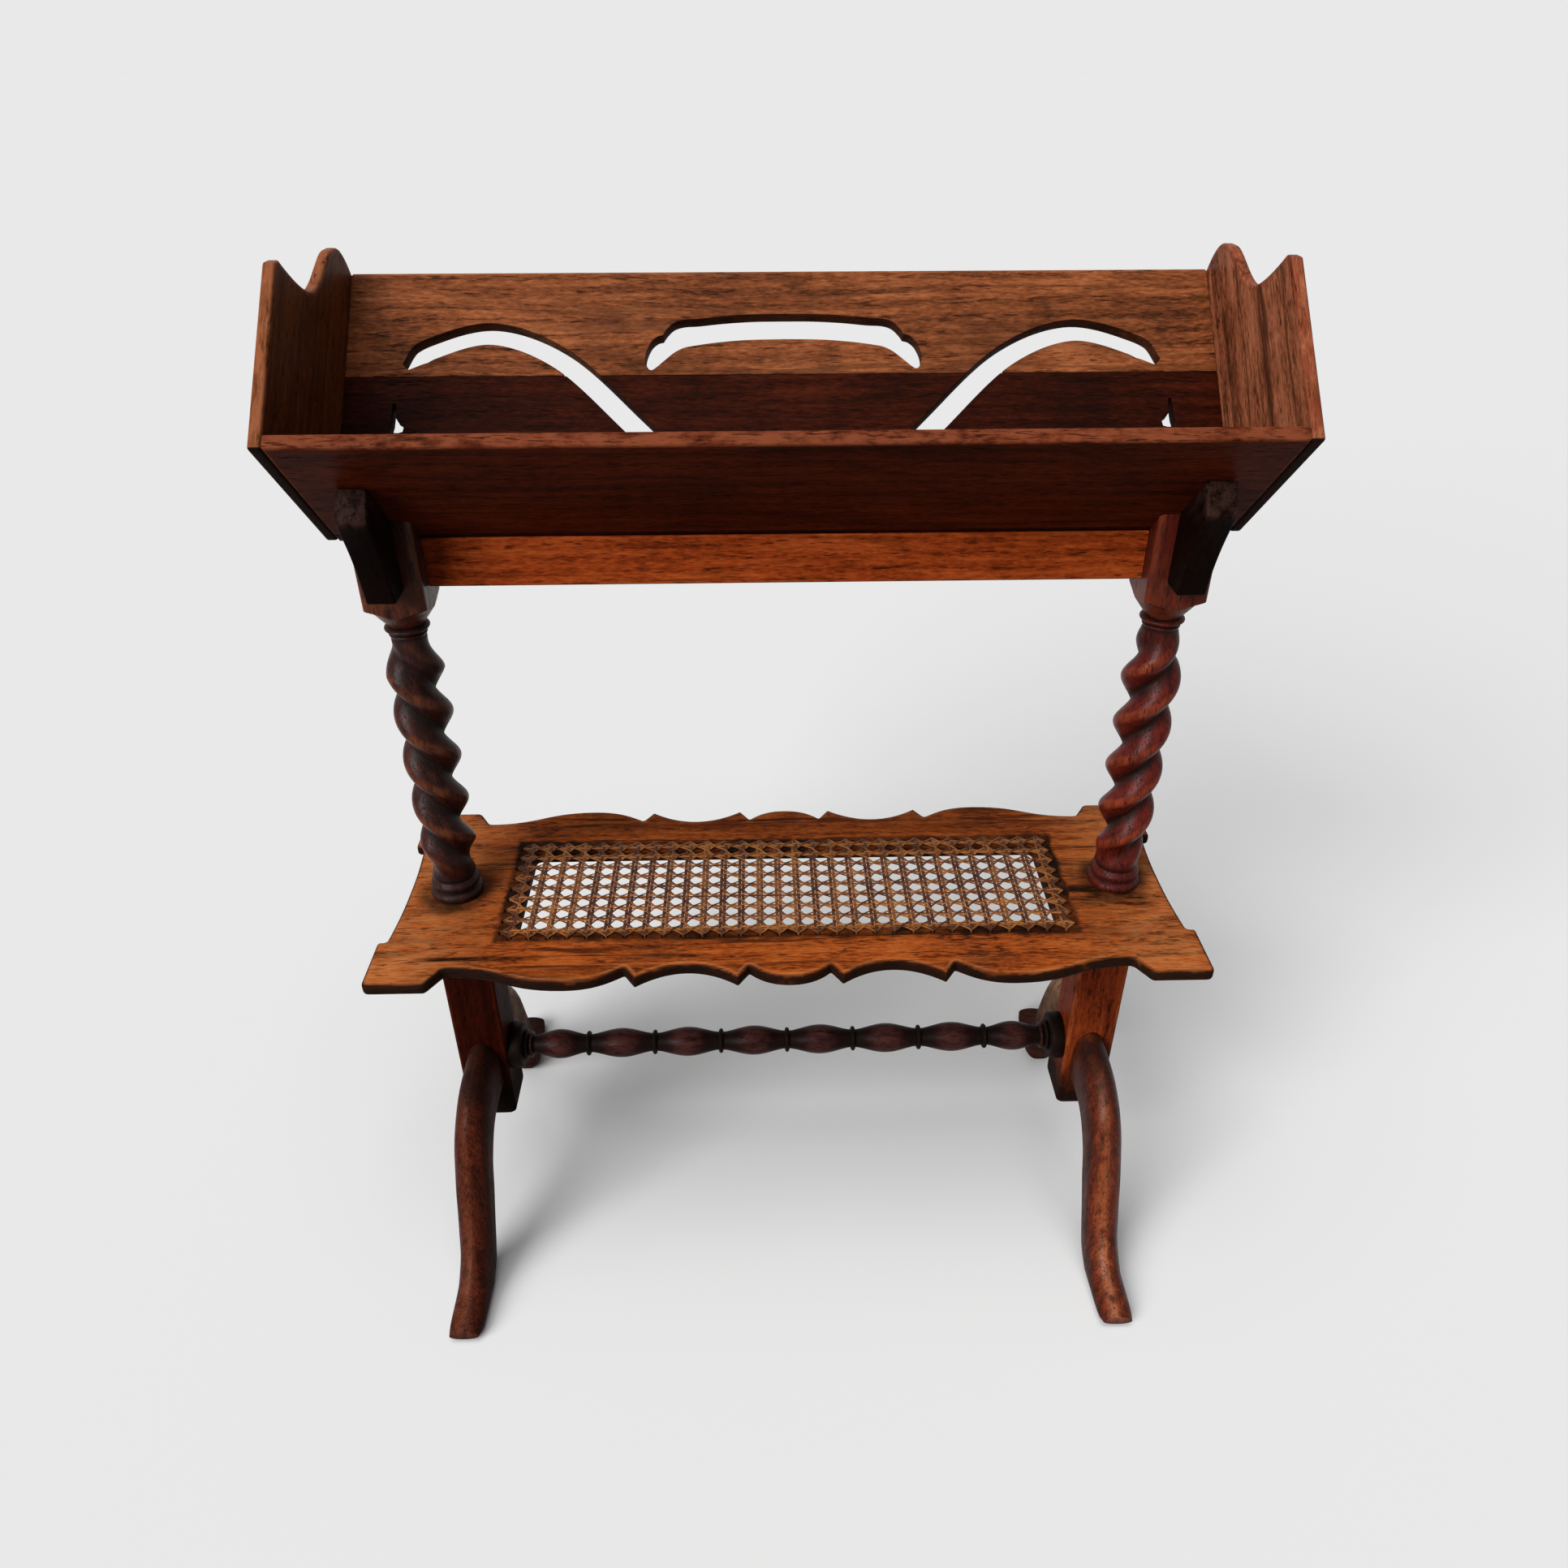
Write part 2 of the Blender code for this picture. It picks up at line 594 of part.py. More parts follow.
def build_legs(posts):
    """Four sawn legs with rounded crests, each dowelled to a face of its post."""
    crest, underside = leg_outline()
    half = LEG_WIDTH / 2
    spots = (LEG_TOP - LEG_DOWEL_EDGE, LEG_TOP - LEG_ROOT + LEG_DOWEL_EDGE)
    dowel = dowel_profile(LEG_DOWEL_RADIUS, LEG_DOWEL_LENGTH)
    dowel_wood = wood("leg_dowel", OAK_TAWNY)
    for side, sign in SIDES.items():
        for end, way in ENDS.items():
            shape = prism([(way * a, b) for a, b in crest + underside], -half, half, along_x)
            front = {(round(way * a, 6), round(b, 6)) for a, b in crest}
            rim = [e for e in shape.edges
                   if all((round(v.co.y, 6), round(v.co.z, 6)) in front for v in e.verts)
                   and abs(e.verts[0].co.x - e.verts[1].co.x) < half]
            bmesh.ops.bevel(shape, geom=rim, offset=LEG_ROUNDING, segments=2, profile=0.5,
                            affect="EDGES", clamp_overlap=True)
            for vert in shape.verts:
                vert.co.x += sign * LEG_SPLAY * abs(vert.co.y) / LEG_REACH
            name = f"leg_{end}_{side}"
            face = way * (POST_WIDTH / 2 + GLUE_LINE)
            leg = add_piece(name, shape, wood(name), None, (sign * COLUMN_X, face, 0))
            for number, height in enumerate(spots, 1):
                fasten(f"leg_dowel_{end}_{side}_{number}", dowel, dowel_wood,
                       (sign * COLUMN_X, face, height), (0, way, 0), (leg, posts[side]))


def stretcher_profile():
    """Half of the stretcher: (radius, distance from its middle), from the middle out."""
    shoulder = COLUMN_X - POST_WIDTH / 2 - GLUE_LINE
    collar = shoulder - COLLAR_WIDTH
    bead = collar - BEAD_WIDTH / 2
    half_ring = RING_WIDTH / 2
    outermost = STRETCHER_RINGS // 2
    points = []
    for index in range(outermost + 1):
        ring = index * BOBBIN_PITCH
        if index:
            points.append((BOBBIN_NECK_RADIUS, ring - half_ring))
        points.append((RING_RADIUS, ring))
        points.append((BOBBIN_NECK_RADIUS, ring + half_ring))
        start = ring + half_ring
        end = ring + BOBBIN_PITCH - half_ring if index < outermost else collar - BEAD_WIDTH
        for step in range(1, BOBBIN_STEPS):
            share = step / BOBBIN_STEPS
            swell = math.sin(math.pi * share) ** BOBBIN_SWELL
            radius = BOBBIN_NECK_RADIUS + (BOBBIN_RADIUS - BOBBIN_NECK_RADIUS) * swell
            points.append((radius, start + (end - start) * share))
    points.append((BOBBIN_NECK_RADIUS, collar - BEAD_WIDTH))
    points.append((BEAD_RADIUS, bead - BEAD_FLAT / 2))
    points.append((BEAD_RADIUS, bead + BEAD_FLAT / 2))
    points.append((BOBBIN_NECK_RADIUS, collar))
    points.append((COLLAR_RADIUS - COLLAR_EDGE, collar))
    points.append((COLLAR_RADIUS, collar + COLLAR_EDGE))
    points.append((COLLAR_RADIUS, shoulder))
    points.append((STRETCHER_TENON_RADIUS, shoulder))
    points.append((STRETCHER_TENON_RADIUS, shoulder + STRETCHER_TENON_LENGTH))
    return points


def build_stretcher(posts):
    """The bobbin-turned stretcher, with a round tenon in each post."""
    half = stretcher_profile()
    profile = [(radius, -out) for radius, out in reversed(half[1:])] + half
    place = (0, 0, STRETCHER_HEIGHT)
    turn = facing((1, 0, 0))
    stretcher = add_piece("stretcher", turned(profile, STRETCHER_SIDES),
                          wood("stretcher", OAK_DARK), None, place, turn)
    round_turned(stretcher)
    reach = half[-1][1] + HOLE_CLEARANCE
    bore = [(STRETCHER_TENON_RADIUS + HOLE_CLEARANCE, -reach),
            (STRETCHER_TENON_RADIUS + HOLE_CLEARANCE, reach)]
    tool = add_piece("stretcher_bore", turned(bore, STRETCHER_SIDES), None, None, place, turn)
    for post in posts.values():
        combine(post, tool, "DIFFERENCE")


def trough_board(name, low, high, parent, colour=OAK_RED):
    """A flat board in the trough's frame, between two corners in (U, V)."""
    shape = box((-BOARD_HALF_LENGTH, *low), (BOARD_HALF_LENGTH, *high))
    return add_piece(name, ease_edges(shape, BOARD_EDGE), wood(name, colour), parent)


def slot_outline(centre, width, bluntness):
    """A slot of one width along a centre line, narrower at both ends."""
    left, right = [], []
    last = len(centre) - 1
    for index, point in enumerate(centre):
        before = Vector(centre[max(index - 1, 0)])
        after = Vector(centre[min(index + 1, last)])
        along = (after - before).normalized()
        side = Vector((-along.y, along.x))
        share = min(index, last - index) / last
        offset = side * width / 2 * min(1.0, bluntness + (1 - bluntness) * share / SLOT_TAPER)
        left.append(tuple(Vector(point) + offset))
        right.append(tuple(Vector(point) - offset))
    return left + list(reversed(right))


def piercing(name, outline, parent):
    shape = prism(outline, -BOARD_THICKNESS, 2 * BOARD_THICKNESS)
    return add_piece(name, shape, None, parent)


def pierce_back(planks, parent):
    """The fretted back: an arch in the middle, a wave and a small spade at each side."""
    shoulder = (ARCH_SHOULDER_OUT, ARCH_SHOULDER_UP)
    right = [shoulder, (ARCH_END_OUT, ARCH_END_UP)]
    left = [(-out, up) for out, up in reversed(right)]
    arch_line = smooth_path([*left, (0.0, ARCH_CROWN_UP), *right])
    arch = slot_outline(arch_line, ARCH_SLOT, ARCH_BLUNTNESS)
    wave_line = [(BOARD_HALF_LENGTH - inset, up) for inset, up in WAVE_LINE]
    wave = slot_outline(smooth_path(wave_line), WAVE_SLOT, WAVE_BLUNTNESS)
    spade_out = BOARD_HALF_LENGTH - SPADE_INSET
    tools = [piercing("arch_piercing", arch, parent)]
    for side, sign in SIDES.items():
        outline = [(sign * x, u) for x, u in wave]
        tools.append(piercing(f"wave_piercing_{side}", outline, parent))
        inner, outer = sign * (spade_out - SPADE_WIDTH), sign * spade_out
        spade = [(outer, SPADE_UP), (inner, SPADE_UP - SPADE_HEIGHT), (outer, SPADE_UP - SPADE_HEIGHT)]
        tools.append(piercing(f"spade_piercing_{side}", spade, parent))
    for plank in planks:
        for tool in tools:
            combine(plank, tool, "DIFFERENCE")


def in_trough(out, height):
    """A point given by its distance behind and above the ridge, in the trough's frame."""
    return (height + out) / math.sqrt(2), (height - out) / math.sqrt(2)


def end_board_outline():
    """Side view of an end board in (U, V): two ears, with a notch between them."""
    front_ear = (FRONT_EAR_RISE, FRONT_BOARD_WIDTH)
    ear_flat = FRONT_EAR_TOP / math.sqrt(2)
    ear_inner = (front_ear[0] + ear_flat, front_ear[1] - ear_flat)
    notch = in_trough(END_NOTCH_OUT, END_NOTCH_HEIGHT)
    ear_start = in_trough(BACK_EAR_OUT, BACK_EAR_HEIGHT)
    ear_end = in_trough(BACK_EAR_OUT + BACK_EAR_WIDTH, BACK_EAR_HEIGHT)
    notch_before = in_trough(END_NOTCH_OUT - END_NOTCH_EASE, END_NOTCH_HEIGHT)
    notch_after = in_trough(END_NOTCH_OUT + END_NOTCH_EASE, END_NOTCH_HEIGHT)
    ear_before = in_trough(BACK_EAR_OUT - END_EASE, BACK_EAR_HEIGHT)
    ear_after = in_trough(BACK_EAR_OUT + BACK_EAR_WIDTH + END_EASE, BACK_EAR_HEIGHT)
    back_top = (BACK_BOARD_WIDTH, BOARD_THICKNESS)
    outline = [(0.0, 0.0), (0.0, FRONT_BOARD_WIDTH), front_ear, ear_inner]
    outline += bezier(ear_inner, ear_inner, notch_before, notch)
    outline += bezier(notch, notch_after, ear_before, ear_start)
    outline.append(ear_end)
    outline += bezier(ear_end, ear_after, back_top, back_top)
    outline.append((BACK_BOARD_WIDTH, 0.0))
    return list(reversed(outline))


def build_trough(columns):
    """The V of boards, its ends, and the rail below its ridge."""
    frame = empty("trough_frame", (0, 0, RIDGE_HEIGHT), math.radians(45))
    thick = BOARD_THICKNESS
    front = trough_board("trough_front_board", (0.0, thick + GLUE_LINE),
                         (thick, FRONT_BOARD_WIDTH), frame)
    lower = trough_board("trough_back_lower", (0.0, 0.0), (BACK_JOINT, thick), frame, OAK_DARK)
    upper = trough_board("trough_back_upper", (BACK_JOINT + GLUE_LINE, 0.0),
                         (BACK_BOARD_WIDTH, thick), frame)
    pierce_back((lower, upper), frame)
    iron = finish("pin_iron", IRON_GREY, IRON_ROUGHNESS, 1.0)
    profile = headed_profile(PIN_RADIUS, PIN_HEAD_RADIUS, PIN_HEAD, PIN_LENGTH)
    for side, sign in SIDES.items():
        name = f"trough_end_{side}"
        shape = prism(end_board_outline(), 0.0, sign * END_THICKNESS, along_x)
        board = add_piece(name, ease_edges(shape, BOARD_EDGE), wood(name), frame,
                          (sign * END_INNER_X, 0, 0))
        spots = [(thick / 2, run, front) for run in FRONT_PIN_RUNS]
        spots += [(run, thick / 2, lower if run < BACK_JOINT else upper) for run in BACK_PIN_RUNS]
        for number, (u, v, plank) in enumerate(spots, 1):
            fasten(f"end_pin_{side}_{number}", profile, iron, (sign * TROUGH_LENGTH / 2, u, v),
                   (-sign, 0, 0), (board, plank), frame)
    build_rail(columns)
    return frame, front, lower


def build_rail(columns):
    """The rail under the ridge, grooved for it, with a stub tenon in each column's head."""
    half = RAIL_THICKNESS / 2
    shoulder = COLUMN_X - BLOCK_WIDTH / 2 - GLUE_LINE
    seat = -GLUE_LINE * math.sqrt(2)
    section = [(-half, -RAIL_DROP), (half, -RAIL_DROP), (half, half + seat), (0.0, seat),
               (-half, half + seat)]
    rail = add_piece("trough_rail", prism(section, -shoulder, shoulder, along_x),
                     wood("rail", OAK_TAWNY), None, (0, 0, RIDGE_HEIGHT))
    for clearance, name, pieces, operation in (
            (0.0, "rail_tenon", (rail,), "UNION"),
            (HOLE_CLEARANCE, "rail_mortise", columns.values(), "DIFFERENCE")):
        reach = shoulder + RAIL_TENON_LENGTH + clearance
        thick = RAIL_TENON_THICKNESS / 2 + clearance
        tool = box((-reach, -thick, -RAIL_DROP + RAIL_TENON_MARGIN - clearance),
                   (reach, thick, -RAIL_TENON_MARGIN + clearance))
        tool = add_piece(name, tool, None, None, (0, 0, RIDGE_HEIGHT))
        for piece in pieces:
            combine(piece, tool, operation)


def arm_outline():
    """Side view of an arm: outwards from the axis of the column, and up from the ridge."""
    root = BLOCK_WIDTH / 2 + GLUE_LINE
    seat = -GLUE_LINE * math.sqrt(2)
    tip = ARM_RUN / math.sqrt(2)
    tip_low = (tip + ARM_TIP * math.sin(ARM_TIP_SLANT),
               tip + seat - ARM_TIP * math.cos(ARM_TIP_SLANT))
    outline = [(root, -ARM_DROP), (root, root + seat), (tip, tip + seat), tip_low]
    outline += arc(tip_low, (root + ARM_FOOT, -ARM_DROP), -ARM_HOLLOW)
    return outline


def build_arms(columns, frame, front, lower):
    """Four arms under the boards, dowelled to the heads and screwed through the boards."""
    iron = finish("screw_iron", IRON_GREY, IRON_ROUGHNESS, 1.0)
    half = ARM_WIDTH / 2
    screw = headed_profile(ARM_SCREW_RADIUS, ARM_SCREW_HEAD_RADIUS, ARM_SCREW_HEAD,
                           ARM_SCREW_LENGTH)
    dowel = dowel_profile(ARM_DOWEL_RADIUS, ARM_DOWEL_LENGTH)
    dowel_wood = wood("arm_dowel", OAK_TAWNY)
    for side, sign in SIDES.items():
        for end, way in ENDS.items():
            name = f"arm_{end}_{side}"
            shape = prism([(way * a, b) for a, b in arm_outline()], -half, half, along_x)
            arm = add_piece(name, ease_edges(shape, BOARD_EDGE), wood(name, OAK_DARK), None,
                            (sign * COLUMN_X, 0, RIDGE_HEIGHT))
            face = way * BLOCK_WIDTH / 2
            fasten(f"arm_dowel_{end}_{side}", dowel, dowel_wood,
                   (sign * COLUMN_X, face, RIDGE_HEIGHT - ARM_DOWEL_DROP), (0, way, 0),
                   (arm, columns[side]))
            if end == "front":
                place, inward, board = (BOARD_THICKNESS, ARM_SCREW_RUN), (0, -1, 0), front
            else:
                place, inward, board = (ARM_SCREW_RUN, BOARD_THICKNESS), (0, 0, -1), lower
            fasten(f"arm_screw_{end}_{side}", screw, iron, (sign * COLUMN_X, *place), inward,
                   (board, arm), frame)


def main():
    clear_scene()
    shelf = build_shelf()
    build_cane()
    columns = build_columns()
    posts = build_posts(shelf)
    build_legs(posts)
    build_stretcher(posts)
    frame, front, lower = build_trough(columns)
    build_arms(columns, frame, front, lower)


main()
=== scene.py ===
"""Looks of an oak book trough: worn and waxed boards, carved twist columns and a woven cane shelf."""

import logging
import math
import random
from dataclasses import dataclass, field
from enum import Enum
from math import cos, hypot, pi, radians, sin
from typing import Any, Callable, Mapping, Optional, Sequence, Union

import bmesh
import bpy
from mathutils import Matrix, Vector


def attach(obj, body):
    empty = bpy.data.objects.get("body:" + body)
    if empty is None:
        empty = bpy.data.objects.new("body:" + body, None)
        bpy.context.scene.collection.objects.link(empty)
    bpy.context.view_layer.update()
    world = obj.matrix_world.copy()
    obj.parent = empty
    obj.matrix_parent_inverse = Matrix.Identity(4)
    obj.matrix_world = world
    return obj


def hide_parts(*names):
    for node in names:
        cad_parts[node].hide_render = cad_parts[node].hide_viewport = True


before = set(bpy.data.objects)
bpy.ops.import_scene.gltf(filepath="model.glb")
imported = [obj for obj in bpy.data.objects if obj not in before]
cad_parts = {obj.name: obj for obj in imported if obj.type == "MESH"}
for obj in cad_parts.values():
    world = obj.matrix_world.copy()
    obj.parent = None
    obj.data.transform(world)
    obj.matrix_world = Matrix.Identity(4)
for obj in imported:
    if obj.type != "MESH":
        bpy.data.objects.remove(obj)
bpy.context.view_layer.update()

LOG = logging.getLogger("book_trough")
BODY = "root"
ROOT_TWO = math.sqrt(2)
SIDES = {"left": -1, "right": 1}
ENDS = {"front": -1, "rear": 1}

Point = tuple[float, float]
Spot = tuple[float, float, float]
Colour = tuple[float, float, float]
Shape = bmesh.types.BMesh
Socket = bpy.types.NodeSocket
Feeds = Mapping[Union[int, str], Any]
Place = Callable[[float, float, float], Spot]
Rule = Callable[[float, float], float]

PORE_BLACK: Colour = (0.004, 0.002, 0.001)
# Near-black that old dirt and painted shade darken a surface towards, and the most share of it.
GRIME_AND_SHADE_BLACK: Colour = (0.006, 0.003, 0.002)
GRIME_AND_SHADE_CAP = 0.97
# Of a plate: the share of its thickness that a rounding may take, and the distance at which points are joined.
MOST_ROUNDING = 0.48
WELD = 2e-6
# Of an outline's corner: the shares of a side that it and its margin may take, the turn of one step round it,
# and how many points, and how far, it shelters.
CORNER_SHARE = 0.4
MARGIN_SHARE = 0.45
CORNER_STEP = radians(22)
SHELTER_POINTS = 12
SHELTER_REACH = 0.014


class Grain(Enum):
    """Direction of the grain; the value turns the pattern so that its X axis runs along it."""

    ALONG_X = (0.0, 0.0, 0.0)
    ALONG_Y = (0.0, 0.0, pi / 2)
    ALONG_Z = (0.0, pi / 2, 0.0)
    UP_FRONTWARD = (pi / 4, 0.0, pi / 2)
    UP_BACKWARD = (-pi / 4, 0.0, pi / 2)


@dataclass(frozen=True)
class Frame:
    """Places and sizes that several sub-assemblies share, in metres."""

    glue_line: float = 0.0003
    column_x: float = 0.2535
    shelf_top: float = 0.317
    shelf_thickness: float = 0.010
    ridge: float = 0.600
    board: float = 0.009
    end_board: float = 0.0075
    end_inner_x: float = 0.2865
    post: float = 0.0396
    block: float = 0.041

    @property
    def board_half(self) -> float:
        """Half the length of a trough board."""
        return self.end_inner_x - self.glue_line

    def trough(self, x: float, u: float, v: float) -> Spot:
        """A point of the trough: x along it, u up its back board and v up its front board."""
        return x, (u - v) / ROOT_TWO, self.ridge + (u + v) / ROOT_TWO


FRAME = Frame()


@dataclass(frozen=True)
class Rise:
    """A mask that is 0 at a start and gains 1 over each run, up to a most; a negative run turns it round."""

    start: float
    run: float
    most: float = 1.0

    def at(self, value: float) -> float:
        """The mask at a value."""
        return max(0.0, min(self.most, (value - self.start) / self.run))


@dataclass(frozen=True)
class ShelfMark:
    """A dark mark along the shelf's grain: its ends in X, its middle in Y and its reach to each side."""

    left: float
    right: float
    middle: float
    reach: float
    fade: float = 0.02


SHELF_MARKS = (ShelfMark(-0.275, -0.05, -0.080, 0.0036), ShelfMark(0.200, 0.285, -0.020, 0.028))


class Graph:
    """Adds, feeds and links the nodes of one tree."""

    def __init__(self, tree: bpy.types.NodeTree) -> None:
        """Keep the tree that the nodes go into."""
        self.tree = tree

    def feed(self, socket: Socket, value: Any) -> None:
        """Link a socket to another one, or set its value.

        Args:
            socket: the input that is fed.
            value: another socket, or a number, vector or colour.
        """
        if isinstance(value, Socket):
            self.tree.links.new(value, socket)
        elif hasattr(socket, "default_value") and isinstance(value, tuple) and len(value) == 3 \
                and len(socket.default_value) == 4:
            socket.default_value = (*value, 1.0)
        else:
            socket.default_value = value

    def add(self, kind: str, feeds: Optional[Feeds] = None, **settings: Any) -> bpy.types.Node:
        """Add a node.

        Args:
            kind: Blender's name of the node.
            feeds: values or sockets for its inputs, by name or number.
            settings: the node's own properties.

        Returns:
            The new node.
        """
        node = self.tree.nodes.new(kind)
        for key, value in settings.items():
            setattr(node, key, value)
        for key, value in (feeds or {}).items():
            self.feed(node.inputs[key], value)
        return node

    def out(self, kind: str, feeds: Optional[Feeds] = None, **settings: Any) -> Socket:
        """The first output of a node that is added in the same way."""
        return self.add(kind, feeds, **settings).outputs[0]

    def math(self, operation: str, *values: Any, clamp: bool = False) -> Socket:
        """The result of a Math node."""
        node = self.add("ShaderNodeMath", dict(enumerate(values)), operation=operation)
        node.use_clamp = clamp
        return node.outputs[0]

    def times(self, *values: Any, clamp: bool = False) -> Socket:
        """The product of two values."""
        return self.math("MULTIPLY", *values, clamp=clamp)

    def plus(self, *values: Any, clamp: bool = False) -> Socket:
        """The sum of two values."""
        return self.math("ADD", *values, clamp=clamp)

    def minus(self, *values: Any) -> Socket:
        """The first value less the second."""
        return self.math("SUBTRACT", *values)

    def larger(self, *values: Any) -> Socket:
        """The larger of two values."""
        return self.math("MAXIMUM", *values)

    def vector(self, operation: str, *values: Any) -> Socket:
        """The vector result of a Vector Math node."""
        return self.out("ShaderNodeVectorMath", dict(enumerate(values)), operation=operation)

    def ramp(self, value: Any, low: float, high: float, start: float = 0.0, end: float = 1.0) -> Socket:
        """A value that runs smoothly from start to end while the input runs from low to high.

        Args:
            value: the input.
            low: input at which the change starts.
            high: input at which it ends.
            start: result at low.
            end: result at high.

        Returns:
            The result's socket.
        """
        feeds = {"Value": value, "From Min": low, "From Max": high, "To Min": start, "To Max": end}
        return self.out("ShaderNodeMapRange", feeds, interpolation_type="SMOOTHSTEP")

    def mix(self, share: Any, first: Any, second: Any) -> Socket:
        """A colour between two colours.

        Args:
            share: share of the second colour.
            first: colour at share 0.
            second: colour at share 1.

        Returns:
            The colour's socket.
        """
        node = self.add("ShaderNodeMix", data_type="RGBA")
        self.feed(node.inputs[0], share)
        self.feed(node.inputs[6], first)
        self.feed(node.inputs[7], second)
        return node.outputs[2]

    def noise(self, vector: Any, scale: Any, detail: float = 3.0, rough: float = 0.55) -> Socket:
        """The value of a Noise Texture."""
        feeds = {"Vector": vector, "Scale": scale, "Detail": detail, "Roughness": rough}
        return self.out("ShaderNodeTexNoise", feeds)

    def drawn_noise(self, vector: Any, along: float, scale: float, detail: float, rough: float) -> Socket:
        """The value of a Noise Texture that is drawn out along X."""
        return self.noise(self.vector("MULTIPLY", vector, (along, 1.0, 1.0)), scale, detail, rough)


class NodeGroup:
    """A node tree with named inputs and outputs."""

    def __init__(self, name: str, kind: str, inputs: Mapping[str, tuple[str, Any]],
                 outputs: Mapping[str, str]) -> None:
        """Make the tree and its interface.

        Args:
            name: name of the tree.
            kind: ShaderNodeTree or GeometryNodeTree.
            inputs: for each input its socket type, without NodeSocket, and its first value.
            outputs: for each output its socket type.
        """
        self.tree = bpy.data.node_groups.new(name, kind)
        self.keys: dict[str, str] = {}
        for label, (socket_type, value) in inputs.items():
            socket = self.tree.interface.new_socket(label, in_out="INPUT", socket_type=f"NodeSocket{socket_type}")
            self.keys[label] = socket.identifier
            if value is not None:
                socket.default_value = value
        for label, socket_type in outputs.items():
            self.tree.interface.new_socket(label, in_out="OUTPUT", socket_type=f"NodeSocket{socket_type}")
        self.graph = Graph(self.tree)
        self.given = self.graph.add("NodeGroupInput").outputs
        self.result = self.graph.add("NodeGroupOutput").inputs

    def put(self, label: str, value: Any) -> None:
        """Feed one output of the group."""
        self.graph.feed(self.result[label], value)

    def use(self, graph: Graph, feeds: Mapping[str, Any]) -> bpy.types.Node:
        """Place the group in a material or another group.

        Args:
            graph: the tree that it goes into.
            feeds: values or sockets for its inputs, by name.

        Returns:
            The group's node.
        """
        node = graph.add("ShaderNodeGroup", node_tree=self.tree)
        for label, value in feeds.items():
            graph.feed(node.inputs[label], value)
        return node


class Effects:
    """The shader effects that the finishes share, each a node group that is built once."""

    def __init__(self) -> None:
        """Build every group."""
        self.grain = self._grain()
        self.wear = self._wear()
        self.grime_and_shade = self._grime_and_shade()
        self.rings = self._rings()
        self.oak = self._oak()

    @staticmethod
    def _grain() -> NodeGroup:
        """Oak's growth rings, streaks and open pores, along X.

        Returns:
            The group.
        """
        group = NodeGroup(
            "oak_grain", "ShaderNodeTree",
            {"Vector": ("Vector", None), "Ring Scale": ("Float", 34.0), "Waviness": ("Float", 0.012)},
            {"Tone": "Float", "Pores": "Float", "Dark Streaks": "Float", "Stain": "Float"})
        g, given = group.graph, group.given
        vector = given["Vector"]
        wander = g.add("ShaderNodeTexNoise", {"Vector": g.vector("MULTIPLY", vector, (0.6, 1.0, 1.0)),
                                              "Scale": 9.0, "Detail": 2.0}).outputs[1]
        wander = g.vector("SUBTRACT", wander, (0.5, 0.5, 0.5))
        across = g.out("ShaderNodeCombineXYZ", {0: 0.0, 1: given["Waviness"], 2: given["Waviness"]})
        bent = g.vector("ADD", vector, g.vector("MULTIPLY", wander, across))
        ring = g.add("ShaderNodeTexWave", {"Vector": g.vector("MULTIPLY", bent, (0.09, 1.0, 1.0)),
                                           "Scale": given["Ring Scale"], "Distortion": 2.2,
                                           "Detail": 2.0, "Detail Scale": 1.4},
                     wave_type="RINGS", rings_direction="X", wave_profile="SIN").outputs[1]
        fleck = g.drawn_noise(bent, 0.26, 560.0, 3.0, 0.7)
        streak = g.drawn_noise(bent, 0.07, 240.0, 4.0, 0.65)
        blotch = g.drawn_noise(bent, 0.5, 24.0, 5.0, 0.62)
        pore = g.drawn_noise(bent, 0.11, 760.0, 2.0, 0.5)
        tone = 0.5
        for part, weight in ((ring, 0.14), (fleck, 1.5), (streak, 1.0), (blotch, 1.3)):
            tone = g.plus(tone, g.times(g.minus(part, 0.5), weight))
        group.put("Tone", g.plus(tone, 0.0, clamp=True))
        early = g.ramp(ring, 0.15, 0.75, 1.0, 0.45)
        group.put("Pores", g.times(g.ramp(pore, 0.56, 0.66), early))
        black = g.drawn_noise(bent, 0.07, 62.0, 4.0, 0.6)
        crack = g.drawn_noise(bent, 0.16, 34.0, 5.0, 0.6)
        crack = g.ramp(g.math("ABSOLUTE", g.minus(crack, 0.5)), 0.003, 0.014, 1.0, 0.0)
        crack = g.times(crack, g.ramp(blotch, 0.62, 0.42))
        shake = g.drawn_noise(bent, 0.06, 30.0, 4.0, 0.5)
        shake = g.ramp(g.math("ABSOLUTE", g.minus(shake, 0.53)), 0.006, 0.026, 1.0, 0.0)
        crack = g.larger(crack, g.times(shake, g.ramp(blotch, 0.36, 0.56)))
        group.put("Dark Streaks", g.larger(g.ramp(black, 0.55, 0.72), crack))
        stain = g.drawn_noise(bent, 0.5, 17.0, 6.0, 0.66)
        group.put("Stain", g.ramp(stain, 0.50, 0.68))
        return group

    @staticmethod
    def _wear() -> NodeGroup:
        """Where an edge is rubbed bare: the piece's own edge mask, broken up by noise.

        Returns:
            The group.
        """
        group = NodeGroup(
            "edge_wear", "ShaderNodeTree",
            {"Vector": ("Vector", None), "Edge": ("Float", 0.0), "Amount": ("Float", 0.6), "Patches": ("Float", 0.2)},
            {"Mask": "Float"})
        g, given = group.graph, group.given
        rub = g.drawn_noise(given["Vector"], 0.4, 130.0, 6.0, 0.72)
        scuff = g.drawn_noise(given["Vector"], 0.35, 24.0, 5.0, 0.7)
        edge = g.times(given["Edge"], g.ramp(rub, 0.32, 0.60))
        edge = g.times(edge, given["Amount"])
        patch = g.times(g.ramp(scuff, 0.54, 0.74), given["Patches"])
        group.put("Mask", g.plus(edge, patch, clamp=True))
        return group

